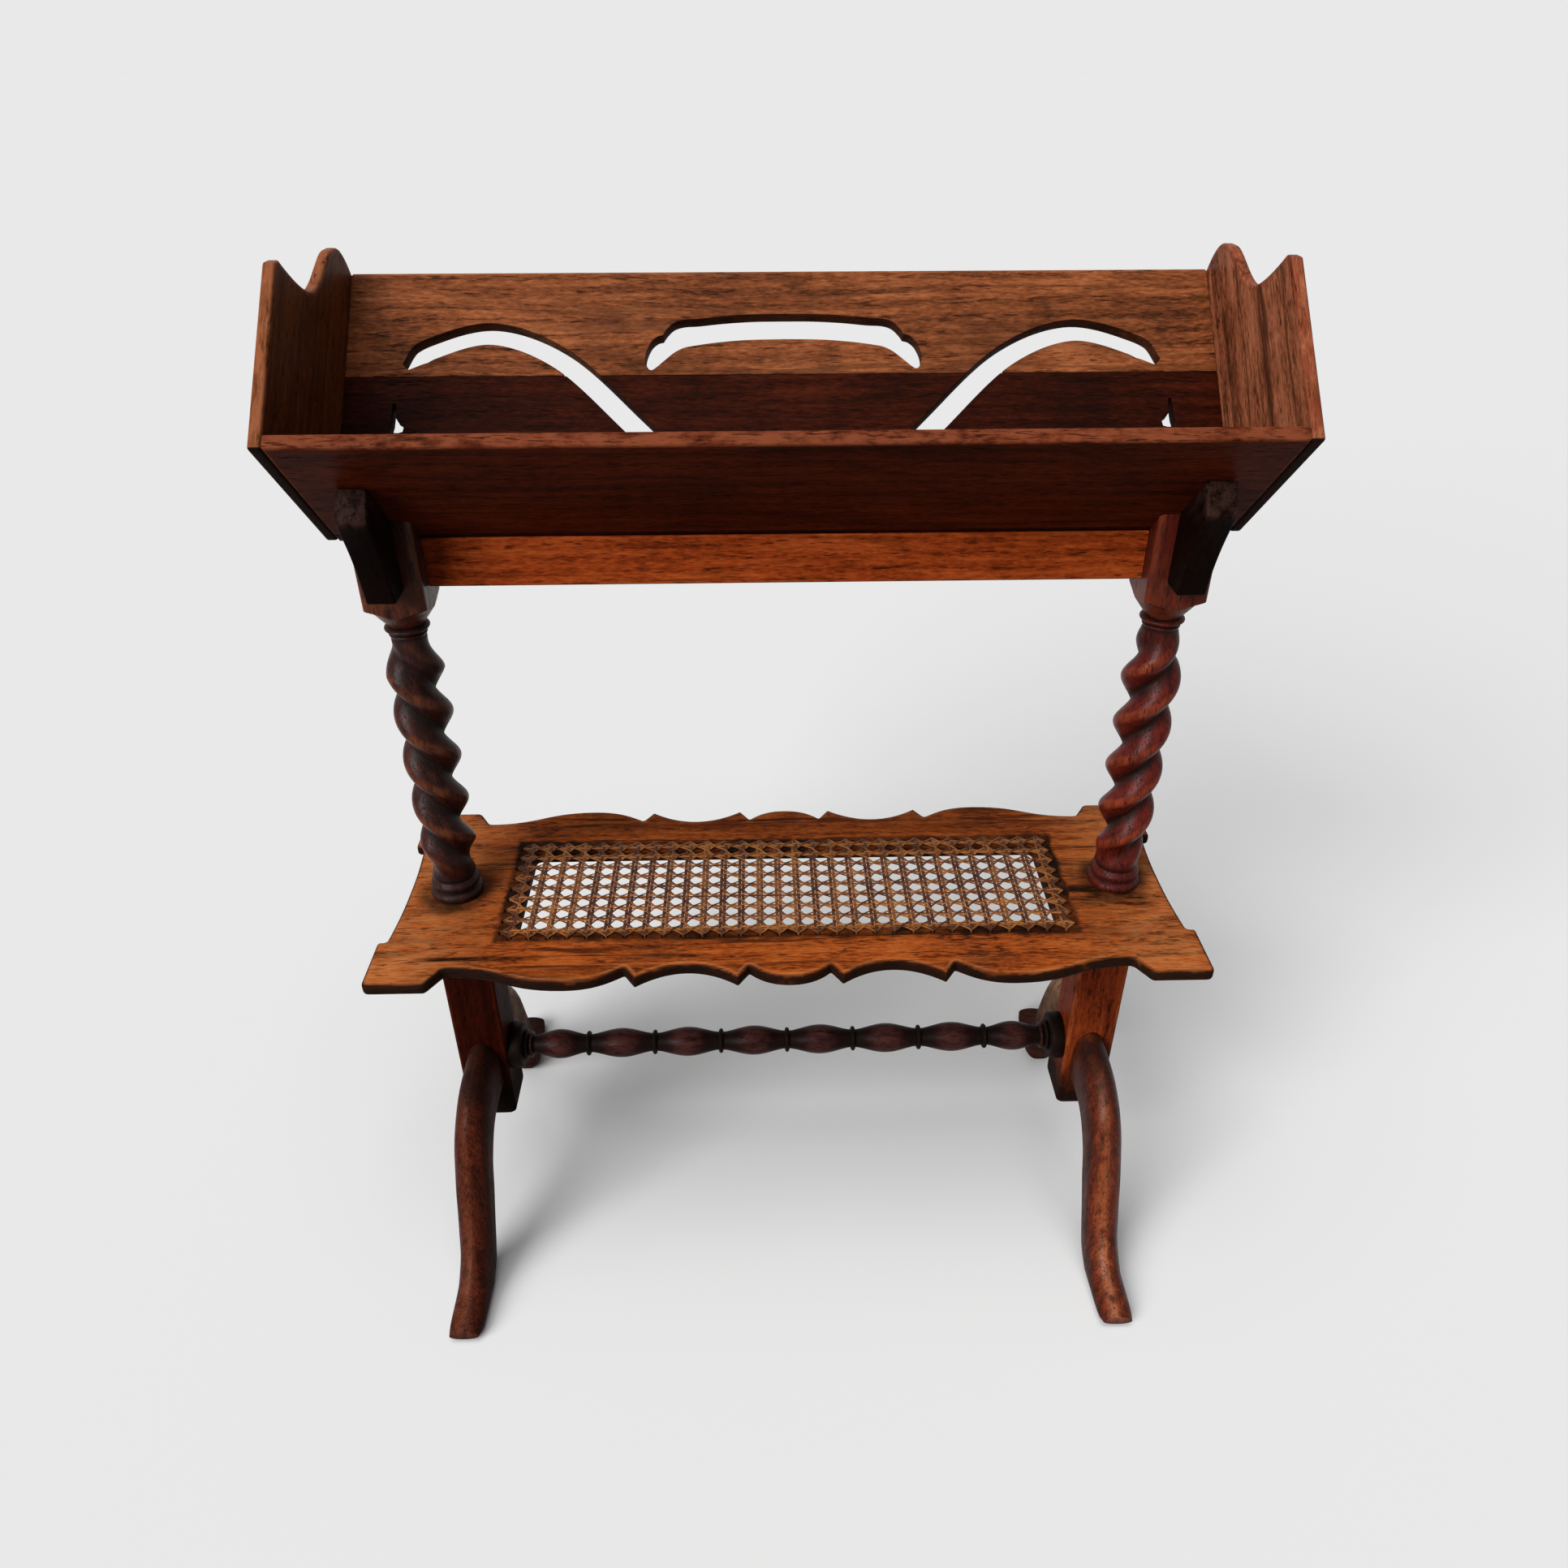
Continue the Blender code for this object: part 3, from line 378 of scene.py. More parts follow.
    @staticmethod
    def _grime_and_shade() -> NodeGroup:
        """Dirt of long use and painted shade in the hollows, cuts and shaded parts, uneven along them.

        Returns:
            The group.
        """
        group = NodeGroup(
            "hollow_grime_and_shade", "ShaderNodeTree",
            {"Vector": ("Vector", None), "Hollow": ("Float", 0.0), "Amount": ("Float", 0.7)},
            {"Mask": "Float"})
        g, given = group.graph, group.given
        spread = g.ramp(g.noise(given["Vector"], 38.0, 4.0, 0.6), 0.25, 0.7, 0.55, 1.1)
        mask = g.times(g.times(given["Hollow"], spread), given["Amount"])
        group.put("Mask", g.math("MINIMUM", mask, GRIME_AND_SHADE_CAP))
        return group

    @staticmethod
    def _rings() -> NodeGroup:
        """Dirt and painted shade on the shelf: a line round the cane that goes on under it as painted shade, a ring
        round each column's foot, a band of painted shadow from the trough along the back, and dark marks along the
        grain.

        Returns:
            The group.
        """
        group = NodeGroup(
            "shelf_marks_and_shade", "ShaderNodeTree",
            {"Vector": ("Vector", None), "Half Length": ("Float", 0.2), "Half Depth": ("Float", 0.06),
             "Seat X": ("Float", 0.25), "Seat Radius": ("Float", 0.0215)},
            {"Mask": "Float", "Ends": "Float"})
        g, given = group.graph, group.given
        shake = g.noise(given["Vector"], 60.0, 4.0, 0.6)
        shake = g.times(g.minus(shake, 0.5), 0.009)
        parts = g.add("ShaderNodeSeparateXYZ", {0: given["Vector"]}).outputs
        x = g.math("ABSOLUTE", parts[0])
        over = g.larger(g.minus(x, given["Half Length"]), g.minus(g.math("ABSOLUTE", parts[1]), given["Half Depth"]))
        over = g.plus(over, shake)
        # A dirt line round the cane, running on inside it as painted shade on the ledge under the cane.
        line = g.times(g.ramp(over, 0.0025, 0.0070, 1.0, 0.0), g.ramp(over, -0.013, -0.011, 0.6, 1.0))
        out = g.math("POWER", g.minus(x, given["Seat X"]), 2.0)
        out = g.math("SQRT", g.plus(out, g.math("POWER", parts[1], 2.0)))
        out = g.plus(g.minus(out, given["Seat Radius"]), shake)
        # A ring of dirt and painted shade round each column's foot.
        seat = g.ramp(out, 0.0, 0.013, 0.85, 0.0)
        # Painted shadow of the trough along the back of the shelf.
        back = g.ramp(g.plus(parts[1], shake), 0.060, 0.075, 0.0, 0.5)
        back = g.times(back, g.ramp(x, 0.16, 0.24, 1.0, 0.0))
        dirt_and_shade = g.larger(g.larger(line, seat), back)
        streak = g.out("ShaderNodeMapping", {"Vector": given["Vector"], "Scale": (0.12, 1.0, 1.0)})
        streak = g.ramp(g.noise(streak, 130.0, 4.0, 0.6), 0.36, 0.60, 0.0, 1.05)
        for mark in SHELF_MARKS:
            near = g.math("ABSOLUTE", g.minus(parts[1], mark.middle))
            near = g.ramp(near, 0.3 * mark.reach, mark.reach, 1.0, 0.0)
            span = g.times(g.ramp(parts[0], mark.left, mark.left + mark.fade),
                           g.ramp(parts[0], mark.right - mark.fade, mark.right, 1.0, 0.0))
            dirt_and_shade = g.larger(dirt_and_shade, g.times(streak, g.times(near, span)))
        group.put("Mask", dirt_and_shade)
        group.put("Ends", g.ramp(x, 0.19, 0.28, 0.0, 0.8))
        return group

    def _oak(self) -> NodeGroup:
        """The whole surface of waxed oak: colour, roughness and height.

        Returns:
            The group.
        """
        group = NodeGroup(
            "waxed_oak", "ShaderNodeTree",
            {"Vector": ("Vector", None), "Edge": ("Float", 0.0), "Hollow": ("Float", 0.0), "Deep": ("Color", None),
             "Middle": ("Color", None), "Pale": ("Color", None), "Worn": ("Color", None),
             "Ring Scale": ("Float", 34.0), "Waviness": ("Float", 0.012), "Pore Depth": ("Float", 0.6),
             "Streaks": ("Float", 0.5), "Wear": ("Float", 0.6), "Patches": ("Float", 0.2), "Grime And Shade": ("Float", 0.7),
             "Stain": ("Float", 0.4), "Sheen": ("Float", 0.42)},
            {"Color": "Color", "Roughness": "Float", "Height": "Float"})
        g, given = group.graph, group.given
        grain = self.grain.use(g, {"Vector": given["Vector"], "Ring Scale": given["Ring Scale"],
                                   "Waviness": given["Waviness"]}).outputs
        colour = g.mix(g.times(grain["Tone"], 2.0, clamp=True), given["Deep"], given["Middle"])
        colour = g.mix(g.math("MULTIPLY_ADD", grain["Tone"], 2.0, -1.0, clamp=True), colour, given["Pale"])
        colour = g.mix(g.times(grain["Dark Streaks"], given["Streaks"]), colour, given["Deep"])
        colour = g.mix(g.times(grain["Stain"], given["Stain"]), colour, given["Deep"])
        wear = self.wear.use(g, {"Vector": given["Vector"], "Edge": given["Edge"], "Amount": given["Wear"],
                                 "Patches": given["Patches"]}).outputs[0]
        colour = g.mix(wear, colour, given["Worn"])
        pores = g.times(grain["Pores"], given["Pore Depth"])
        colour = g.mix(pores, colour, g.mix(0.8, given["Deep"], PORE_BLACK))
        # Darkening by the hollow attribute: old dirt, and painted shade in hollows, cuts and on shaded parts.
        grime_and_shade = self.grime_and_shade.use(g, {"Vector": given["Vector"], "Hollow": given["Hollow"],
                                   "Amount": given["Grime And Shade"]}).outputs[0]
        colour = g.mix(grime_and_shade, colour, GRIME_AND_SHADE_BLACK)
        group.put("Color", colour)
        rough = g.plus(given["Sheen"], g.times(grain["Pores"], 0.22))
        rough = g.minus(rough, g.times(wear, 0.05))
        group.put("Roughness", g.plus(rough, g.times(grime_and_shade, 0.25), clamp=True))
        height = g.minus(g.times(grain["Tone"], 0.25), grain["Pores"])
        group.put("Height", height)
        return group


EFFECTS = Effects()


def new_material(name: str) -> tuple[bpy.types.Material, Graph, Any]:
    """Start a material.

    Args:
        name: the material's name.

    Returns:
        The material, its graph and the inputs of its surface.
    """
    made = bpy.data.materials.new(name)
    made.use_nodes = True
    return made, Graph(made.node_tree), made.node_tree.nodes["Principled BSDF"].inputs


@dataclass(frozen=True)
class OakFinish:
    """One finish of waxed oak."""

    name: str
    slot: str
    deep: Colour
    middle: Colour
    pale: Colour
    worn: Colour
    grain: Grain = Grain.ALONG_X
    shift: Spot = (0.13, 0.03, 0.07)
    ring_scale: float = 34.0
    waviness: float = 0.012
    pores: float = 0.75
    streaks: float = 0.5
    wear: float = 0.6
    patches: float = 0.2
    grime_and_shade: float = 0.7
    stain: float = 0.4
    sheen: float = 0.48
    shine: float = 0.035
    bump: float = 0.35
    marks_and_shade: bool = False

    def material(self) -> bpy.types.Material:
        """Build the material of this finish.

        Returns:
            A material that reads the piece's edge and hollow attributes.
        """
        made, graph, surface = new_material(self.name)
        spot = graph.add("ShaderNodeTexCoord").outputs["Object"]
        feeds = {"Vector": spot, "Location": self.shift, "Rotation": self.grain.value}
        turned = graph.out("ShaderNodeMapping", feeds)
        edge = graph.add("ShaderNodeAttribute", attribute_name="edge").outputs["Fac"]
        hollow = graph.add("ShaderNodeAttribute", attribute_name="hollow").outputs["Fac"]
        # On the shelf: dirt, and painted shade under the cane, round the columns' feet and along the back.
        if self.marks_and_shade:
            rings = EFFECTS.rings.use(graph, {"Vector": spot, "Half Length": Cane.length / 2,
                                              "Half Depth": Cane.depth / 2, "Seat X": FRAME.column_x})
            hollow = graph.larger(hollow, rings.outputs["Mask"])
            edge = graph.larger(edge, rings.outputs["Ends"])
        oak = EFFECTS.oak.use(graph, {
            "Vector": turned, "Edge": edge, "Hollow": hollow, "Deep": self.deep, "Middle": self.middle,
            "Pale": self.pale, "Worn": self.worn, "Ring Scale": self.ring_scale, "Waviness": self.waviness,
            "Pore Depth": self.pores, "Streaks": self.streaks, "Wear": self.wear, "Patches": self.patches,
            "Grime And Shade": self.grime_and_shade, "Stain": self.stain, "Sheen": self.sheen}).outputs
        surface["Specular IOR Level"].default_value = self.shine
        graph.feed(surface["Base Color"], oak["Color"])
        graph.feed(surface["Roughness"], oak["Roughness"])
        bump = graph.add("ShaderNodeBump", {"Strength": self.bump, "Distance": 0.0006, "Height": oak["Height"]})
        graph.feed(surface["Normal"], bump.outputs[0])
        return made


@dataclass(frozen=True)
class CaneFinish:
    """Aged cane: tan strands, browner and dirtier here and there, and darker along the back with painted shade."""

    name: str = "aged_cane"
    slot: str = "cane"
    pale: Colour = (0.410, 0.146, 0.034)
    brown: Colour = (0.070, 0.019, 0.0065)
    dirt_and_shade: Colour = (0.012, 0.006, 0.004)
    sheen: float = 0.46
    shine: float = 0.15

    def material(self) -> bpy.types.Material:
        """Build the material, which reads each strand's own tone and its hollow attribute.

        Returns:
            The material.
        """
        made, graph, surface = new_material(self.name)
        spot = graph.add("ShaderNodeTexCoord").outputs["Object"]
        tone = graph.add("ShaderNodeAttribute", attribute_name="strand").outputs["Fac"]
        hollow = graph.add("ShaderNodeAttribute", attribute_name="hollow").outputs["Fac"]
        blotch = graph.noise(spot, 70.0, 4.0, 0.6)
        fibre = graph.noise(spot, 1500.0, 3.0, 0.6)
        share = graph.plus(graph.times(tone, 0.45), graph.times(blotch, 0.75))
        colour = graph.mix(graph.ramp(share, 0.38, 0.92), self.brown, self.pale)
        colour = graph.mix(graph.ramp(fibre, 0.48, 0.72, 0.0, 0.4), colour, self.brown)
        grime_and_shade = EFFECTS.grime_and_shade.use(graph, {"Vector": spot, "Hollow": hollow, "Amount": 0.6}).outputs[0]
        surface["Specular IOR Level"].default_value = self.shine
        graph.feed(surface["Base Color"], graph.mix(grime_and_shade, colour, self.dirt_and_shade))
        graph.feed(surface["Roughness"], graph.ramp(fibre, 0.3, 0.7, self.sheen - 0.08, self.sheen + 0.12))
        bump = graph.add("ShaderNodeBump", {"Strength": 0.25, "Distance": 0.0003, "Height": fibre})
        graph.feed(surface["Normal"], bump.outputs[0])
        return made


@dataclass(frozen=True)
class IronFinish:
    """Dull iron with a little rust."""

    name: str = "dull_iron"
    slot: str = "iron"
    bare: Colour = (0.115, 0.110, 0.105)
    rust: Colour = (0.075, 0.030, 0.014)

    def material(self) -> bpy.types.Material:
        """Build the material: rusty patches are rough and not metallic.

        Returns:
            The material.
        """
        made, graph, surface = new_material(self.name)
        spot = graph.add("ShaderNodeTexCoord").outputs["Object"]
        patch = graph.ramp(graph.noise(spot, 420.0, 5.0, 0.65), 0.44, 0.62)
        graph.feed(surface["Base Color"], graph.mix(patch, self.bare, self.rust))
        graph.feed(surface["Metallic"], graph.minus(1.0, patch))
        graph.feed(surface["Roughness"], graph.ramp(patch, 0.0, 1.0, 0.42, 0.8))
        bump = graph.add("ShaderNodeBump", {"Strength": 0.3, "Distance": 0.0002, "Height": patch})
        graph.feed(surface["Normal"], bump.outputs[0])
        return made


Finish = Union[OakFinish, CaneFinish, IronFinish]


class Finishes:
    """Makes each finish's material once, and hands it out again."""

    def __init__(self) -> None:
        """Start with no material made."""
        self.made: dict[str, bpy.types.Material] = {}

    def material(self, finish: Finish) -> bpy.types.Material:
        """The material of a finish."""
        if finish.name not in self.made:
            self.made[finish.name] = finish.material()
        return self.made[finish.name]


FINISHES = Finishes()


@dataclass
class RimPoint:
    """A point of a plate's outline, and how it moves when the outline is drawn in."""

    spot: Vector
    inward: Vector
    corner: Optional[Vector] = None
    slant: Optional[Vector] = None
    limit: float = math.inf
    worn: bool = False

    def drawn_in(self, depth: float) -> Vector:
        """The point at some depth inside the outline."""
        if self.corner is not None and depth > self.limit:
            return self.corner + self.slant * depth
        return self.spot + self.inward * depth


@dataclass
class Rim:
    """One closed outline of a plate, with the rounding and the wear of its edge.

    Attributes:
        points: the outline, in either direction.
        rounding: radius of the rounded edge, or a rule that gives it at a point.
        margin: strip of the flat face beside the edge over which the wear runs out.
        corner: radius of the outline's own corners.
        wear: how worn the edge is, or a rule that gives it at a point.
        hollow: how far the cut is darkened with painted shade and soiling, or a rule that gives it at a point.
        turn_limit: turn below which a corner is left as it is.
    """

    points: Sequence[Point]
    rounding: Union[float, Rule] = 0.0014
    margin: float = 0.003
    corner: float = 0.0025
    wear: Union[float, Rule] = 1.0
    hollow: Union[float, Rule] = 0.0
    turn_limit: float = radians(24)

    def at(self, rule: Union[float, Rule], spot: Vector) -> float:
        """A size at a point of the outline."""
        return rule(spot.x, spot.y) if callable(rule) else rule

    def _ordered(self, hole: bool) -> list[Vector]:
        """The points, with the solid on the left of the outline."""
        points = [Vector(p) for p in self.points]
        area = sum(a.x * b.y - a.y * b.x for a, b in zip(points, points[1:] + points[:1]))
        return points if (area > 0) != hole else points[::-1]

    def softened(self, hole: bool) -> list[RimPoint]:
        """Round the outline's corners.

        Args:
            hole: whether the outline bounds a hole.

        Returns:
            The points in order, with the solid on their left.
        """
        points = self._ordered(hole)
        count = len(points)
        made: list[RimPoint] = []
        corners: list[tuple[int, int, Vector, Vector, float]] = []
        for index, spot in enumerate(points):
            before, after = points[index - 1], points[(index + 1) % count]
            a, b = (spot - before).normalized(), (after - spot).normalized()
            turn = math.atan2(a.x * b.y - a.y * b.x, a.dot(b))
            side_a, side_b = Vector((-a.y, a.x)), Vector((-b.y, b.x))
            slant = (side_a + side_b) / max(1 + side_a.dot(side_b), 0.2)
            if abs(turn) < self.turn_limit:
                made.append(RimPoint(spot, slant))
                continue
            half = math.tan(abs(turn) / 2)
            cut = min(self.corner * half, *(CORNER_SHARE * side.length for side in (spot - before, after - spot)))
            radius = cut / half
            convex = turn > 0
            middle = spot + slant * (radius if convex else -radius)
            steps = max(2, math.ceil(abs(turn) / CORNER_STEP))
            first = len(made)
            if cut + self.margin < MARGIN_SHARE * (spot - before).length:
                made.append(RimPoint(spot - a * (cut + self.margin), side_a))
            for step in range(steps + 1):
                side = side_a.copy()
                side.rotate(Matrix.Rotation(turn * step / steps, 2))
                rim = middle - side * radius if convex else middle + side * radius
                made.append(RimPoint(rim, side, worn=convex))
                if convex:
                    made[-1].corner, made[-1].slant, made[-1].limit = spot, slant, radius
            if cut + self.margin < MARGIN_SHARE * (after - spot).length:
                made.append(RimPoint(spot + b * (cut + self.margin), side_b))
            if convex:
                corners.append((first, len(made) - 1, spot, slant, 1 / half))
        for first, last, spot, slant, half in corners:
            self._shelter(made, range(first, first - SHELTER_POINTS, -1), spot, slant, half)
            self._shelter(made, range(last, last + SHELTER_POINTS), spot, slant, half)
        return made

    @staticmethod
    def _shelter(made: list[RimPoint], indices: range, spot: Vector, slant: Vector, half: float) -> None:
        """Let the points next to a corner meet at the corner once the outline is drawn in so far.

        Args:
            made: the outline's points.
            indices: the points beside the corner, going away from it.
            spot: the corner.
            slant: how the corner moves when the outline is drawn in.
            half: depth at which a point meets the corner, as a share of its distance.
        """
        for index in indices:
            near = made[index % len(made)]
            if near.worn:
                continue
            if near.corner is not None or (near.spot - spot).length > SHELTER_REACH:
                return
            near.corner, near.slant, near.limit = spot, slant, (near.spot - spot).length * half


def flat(a: float, b: float, c: float) -> Spot:
    """Place for a plate that lies level."""
    return a, b, c


def mask_layers(shape: Shape) -> tuple[Any, Any]:
    """The edge layer and the hollow layer of a shape."""
    return shape.verts.layers.float["edge"], shape.verts.layers.float["hollow"]


def full_turn(count: int) -> list[float]:
    """Equal steps round a whole turn, in radians."""
    return [2 * pi * step / count for step in range(count)]


def place_object(name: str, data: Any) -> bpy.types.Object:
    """Add an object to the scene.

    Args:
        name: the object's name.
        data: its mesh, camera or lamp.

    Returns:
        The new object.
    """
    made = bpy.data.objects.new(name, data)
    bpy.context.scene.collection.objects.link(made)
    return made


def rounded_plate(rims: Sequence[Rim], low: float, high: float, place: Place = flat,
                  steps: int = 3) -> Shape:
    """A closed plate with rounded edges.

    Args:
        rims: the outline, and after it any holes.
        low: lower face.
        high: upper face.
        place: turns outline and height into a point in the row frame.
        steps: faces across a rounded edge.

    Returns:
        The plate, with its edge and hollow layers.
    """
    shape = bmesh.new()
    edge_layer = shape.verts.layers.float.new("edge")
    hollow_layer = shape.verts.layers.float.new("hollow")
    cap_layer = shape.verts.layers.int.new("cap")
    turns = [pi / 2 * step / steps for step in range(steps + 1)]
    most = (high - low) * MOST_ROUNDING
    for number, rim in enumerate(rims):
        points = rim.softened(hole=number > 0)
        rows: list[list[bmesh.types.BMVert]] = []
        levels = [(low, -1.0, turn, False) for turn in reversed(turns)]
        levels += [(high, 1.0, turn, False) for turn in turns]
        levels = [(low, -1.0, pi / 2, True), *levels, (high, 1.0, pi / 2, True)]
        for face, way, turn, flat_face in levels:
            row = []
            for point in points:
                radius = min(rim.at(rim.rounding, point.spot), most)
                depth = radius * (1 - cos(turn)) + (rim.margin if flat_face else 0.0)
                spot = point.drawn_in(depth)
                vert = shape.verts.new(place(spot.x, spot.y, face - way * radius * (1 - sin(turn))))
                # Darkening of the cut's wall: painted shade and dirt, fading over the upper rounding.
                dirt_and_shade = rim.at(rim.hollow, point.spot) * (cos(turn) if way > 0 else 1.0)
                vert[edge_layer] = 0.0 if flat_face else rim.at(rim.wear, point.spot) * max(0.0, 1.0 - dirt_and_shade)
                vert[hollow_layer] = 0.0 if flat_face else dirt_and_shade
                vert[cap_layer] = int(1 + (way + 1) / 2) if flat_face else 0
                row.append(vert)
            rows.append(row)
        for below, above in zip(rows, rows[1:]):
            for index in range(len(points)):
                after = (index + 1) % len(points)
                shape.faces.new((below[index], below[after], above[after], above[index]))
    bmesh.ops.remove_doubles(shape, verts=shape.verts, dist=WELD)
    for cap in (1, 2):
        edges = [e for e in shape.edges if e.is_boundary and all(v[cap_layer] == cap for v in e.verts)]
        bmesh.ops.triangle_fill(shape, use_beauty=True, use_dissolve=False, edges=edges)
    bmesh.ops.recalc_face_normals(shape, faces=shape.faces)
    return shape


def ring_stack(rings: Sequence[Sequence[Spot]], valley: bool = False) -> Shape:
    """A closed body through rings of equally many points.

    Args:
        rings: the rings, in order along the body.
        valley: whether the last ring closes with two faces that meet in a valley.

    Returns:
        The body, with empty edge and hollow layers.
    """
    shape = bmesh.new()
    shape.verts.layers.float.new("edge")
    shape.verts.layers.float.new("hollow")
    rows = [[shape.verts.new(point) for point in ring] for ring in rings]
    count = len(rows[0])
    for below, above in zip(rows, rows[1:]):
        for index in range(count):
            after = (index + 1) % count
            shape.faces.new((below[index], below[after], above[after], above[index]))
    shape.faces.new(rows[0][::-1])
    if valley:
        shape.faces.new(rows[-1][:count // 2 + 1])
        shape.faces.new(rows[-1][count // 2:] + rows[-1][:1])
    else:
        shape.faces.new(rows[-1])
    bmesh.ops.recalc_face_normals(shape, faces=shape.faces)
    return shape


def smooth_path(knots: Sequence[Sequence[float]], steps: int) -> list[tuple[float, ...]]:
    """A smooth curve through knots of two or more numbers.

    Args:
        knots: the points that it goes through.
        steps: steps from one knot to the next.

    Returns:
        The points of the curve.
    """
    first = [2 * a - b for a, b in zip(knots[0], knots[1])]
    last = [2 * a - b for a, b in zip(knots[-1], knots[-2])]
    guide = [Vector(k) for k in (first, *knots, last)]
    points = [tuple(guide[1])]
    for before, start, end, after in zip(guide, guide[1:], guide[2:], guide[3:]):
        for step in range(1, steps + 1):
            t = step / steps
            points.append(tuple((2 * start + (end - before) * t
                                 + (2 * before - 5 * start + 4 * end - after) * t ** 2
                                 + (3 * start - before - 3 * end + after) * t ** 3) / 2))
    return points


def bezier(start: Point, start_handle: Point, end_handle: Point, end: Point, steps: int = 14) -> list[Point]:
    """Points on a cubic curve, its first point left out.

    Args:
        start: first point.
        start_handle: where the curve heads from there.
        end_handle: where it comes from at its end.
        end: last point.
        steps: number of points.

    Returns:
        The points, without the first.
    """
    points = []
    for step in range(1, steps + 1):
        t = step / steps
        weights = ((1 - t) ** 3, 3 * t * (1 - t) ** 2, 3 * t * t * (1 - t), t ** 3)
        knots = (start, start_handle, end_handle, end)
        points.append(tuple(sum(w * k[axis] for w, k in zip(weights, knots)) for axis in (0, 1)))
    return points


def arc(start: Point, end: Point, rise: float, steps: int = 14) -> list[Point]:
    """Points on a flat curve that bows to the left of its chord, its first point left out.

    Args:
        start: first point.
        end: last point.
        rise: height of the bow.
        steps: number of points.

    Returns:
        The points, without the first.
    """
    chord = Vector(end) - Vector(start)
    side = Vector((-chord.y, chord.x)).normalized() * rise
    shares = [step / steps for step in range(1, steps + 1)]
    return [tuple(Vector(start) + chord * s + side * 4 * s * (1 - s)) for s in shares]


class SubAssembly:
    """A group of pieces that is built and dressed together."""

    def add(self, name: str, shape: Union[Shape, bpy.types.Mesh], finish: Finish,
            stands_for: Sequence[str], sharp: float = 40.0) -> bpy.types.Object:
        """Make a piece of the object, and tie it to the frame.

        Args:
            name: the piece's name.
            shape: its mesh, in the row frame.
            finish: its finish.
            stands_for: the CAD nodes that it replaces.
            sharp: angle in degrees past which an edge stays sharp.

        Returns:
            The new object.
        """
        if isinstance(shape, Shape):
            mesh = bpy.data.meshes.new(name)
            shape.to_mesh(mesh)
            shape.free()
        else:
            mesh = shape
            mesh.name = name
        mesh.shade_smooth()
        mesh.set_sharp_from_angle(angle=radians(sharp))
        mesh.materials.clear()
        mesh.materials.append(FINISHES.material(finish))
        piece = place_object(name, mesh)
        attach(piece, BODY)
        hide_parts(*stands_for)
        LOG.info("%s: %d faces, for %s", name, len(mesh.polygons), ", ".join(stands_for))
        return piece

    def build(self) -> None:
        """Build every piece of the sub-assembly."""
        raise NotImplementedError


def through_nodes(name: str, mesh: bpy.types.Mesh, group: NodeGroup, values: Mapping[str, Any]) -> bpy.types.Mesh:
    """Run a mesh through a geometry node tree.

    Args:
        name: name of the piece that is made.
        mesh: the guide that the tree starts from.
        group: the tree.
        values: the tree's inputs, by name.

    Returns:
        The result as a plain mesh.
    """
    guide = place_object(f"{name}_guide", mesh)
    change = guide.modifiers.new(group.tree.name, "NODES")
    change.node_group = group.tree
    for label, value in values.items():
        change[group.keys[label]] = value
    bpy.context.view_layer.update()
    graph = bpy.context.evaluated_depsgraph_get()
    made = bpy.data.meshes.new_from_object(guide.evaluated_get(graph))
    guide.modifiers.remove(change)
    bpy.data.objects.remove(guide, do_unlink=True)
    return made


SHELF_OAK = OakFinish(
    "tawny_shelf_oak", "oak_shelf", deep=(0.056, 0.0095, 0.002), middle=(0.345, 0.069, 0.0103),
    pale=(0.500, 0.135, 0.028), worn=(0.500, 0.190, 0.062), shift=(0.31, 0.02, -0.25), streaks=0.9, wear=0.6,
    patches=0.15, grime_and_shade=0.95, stain=0.5, marks_and_shade=True)


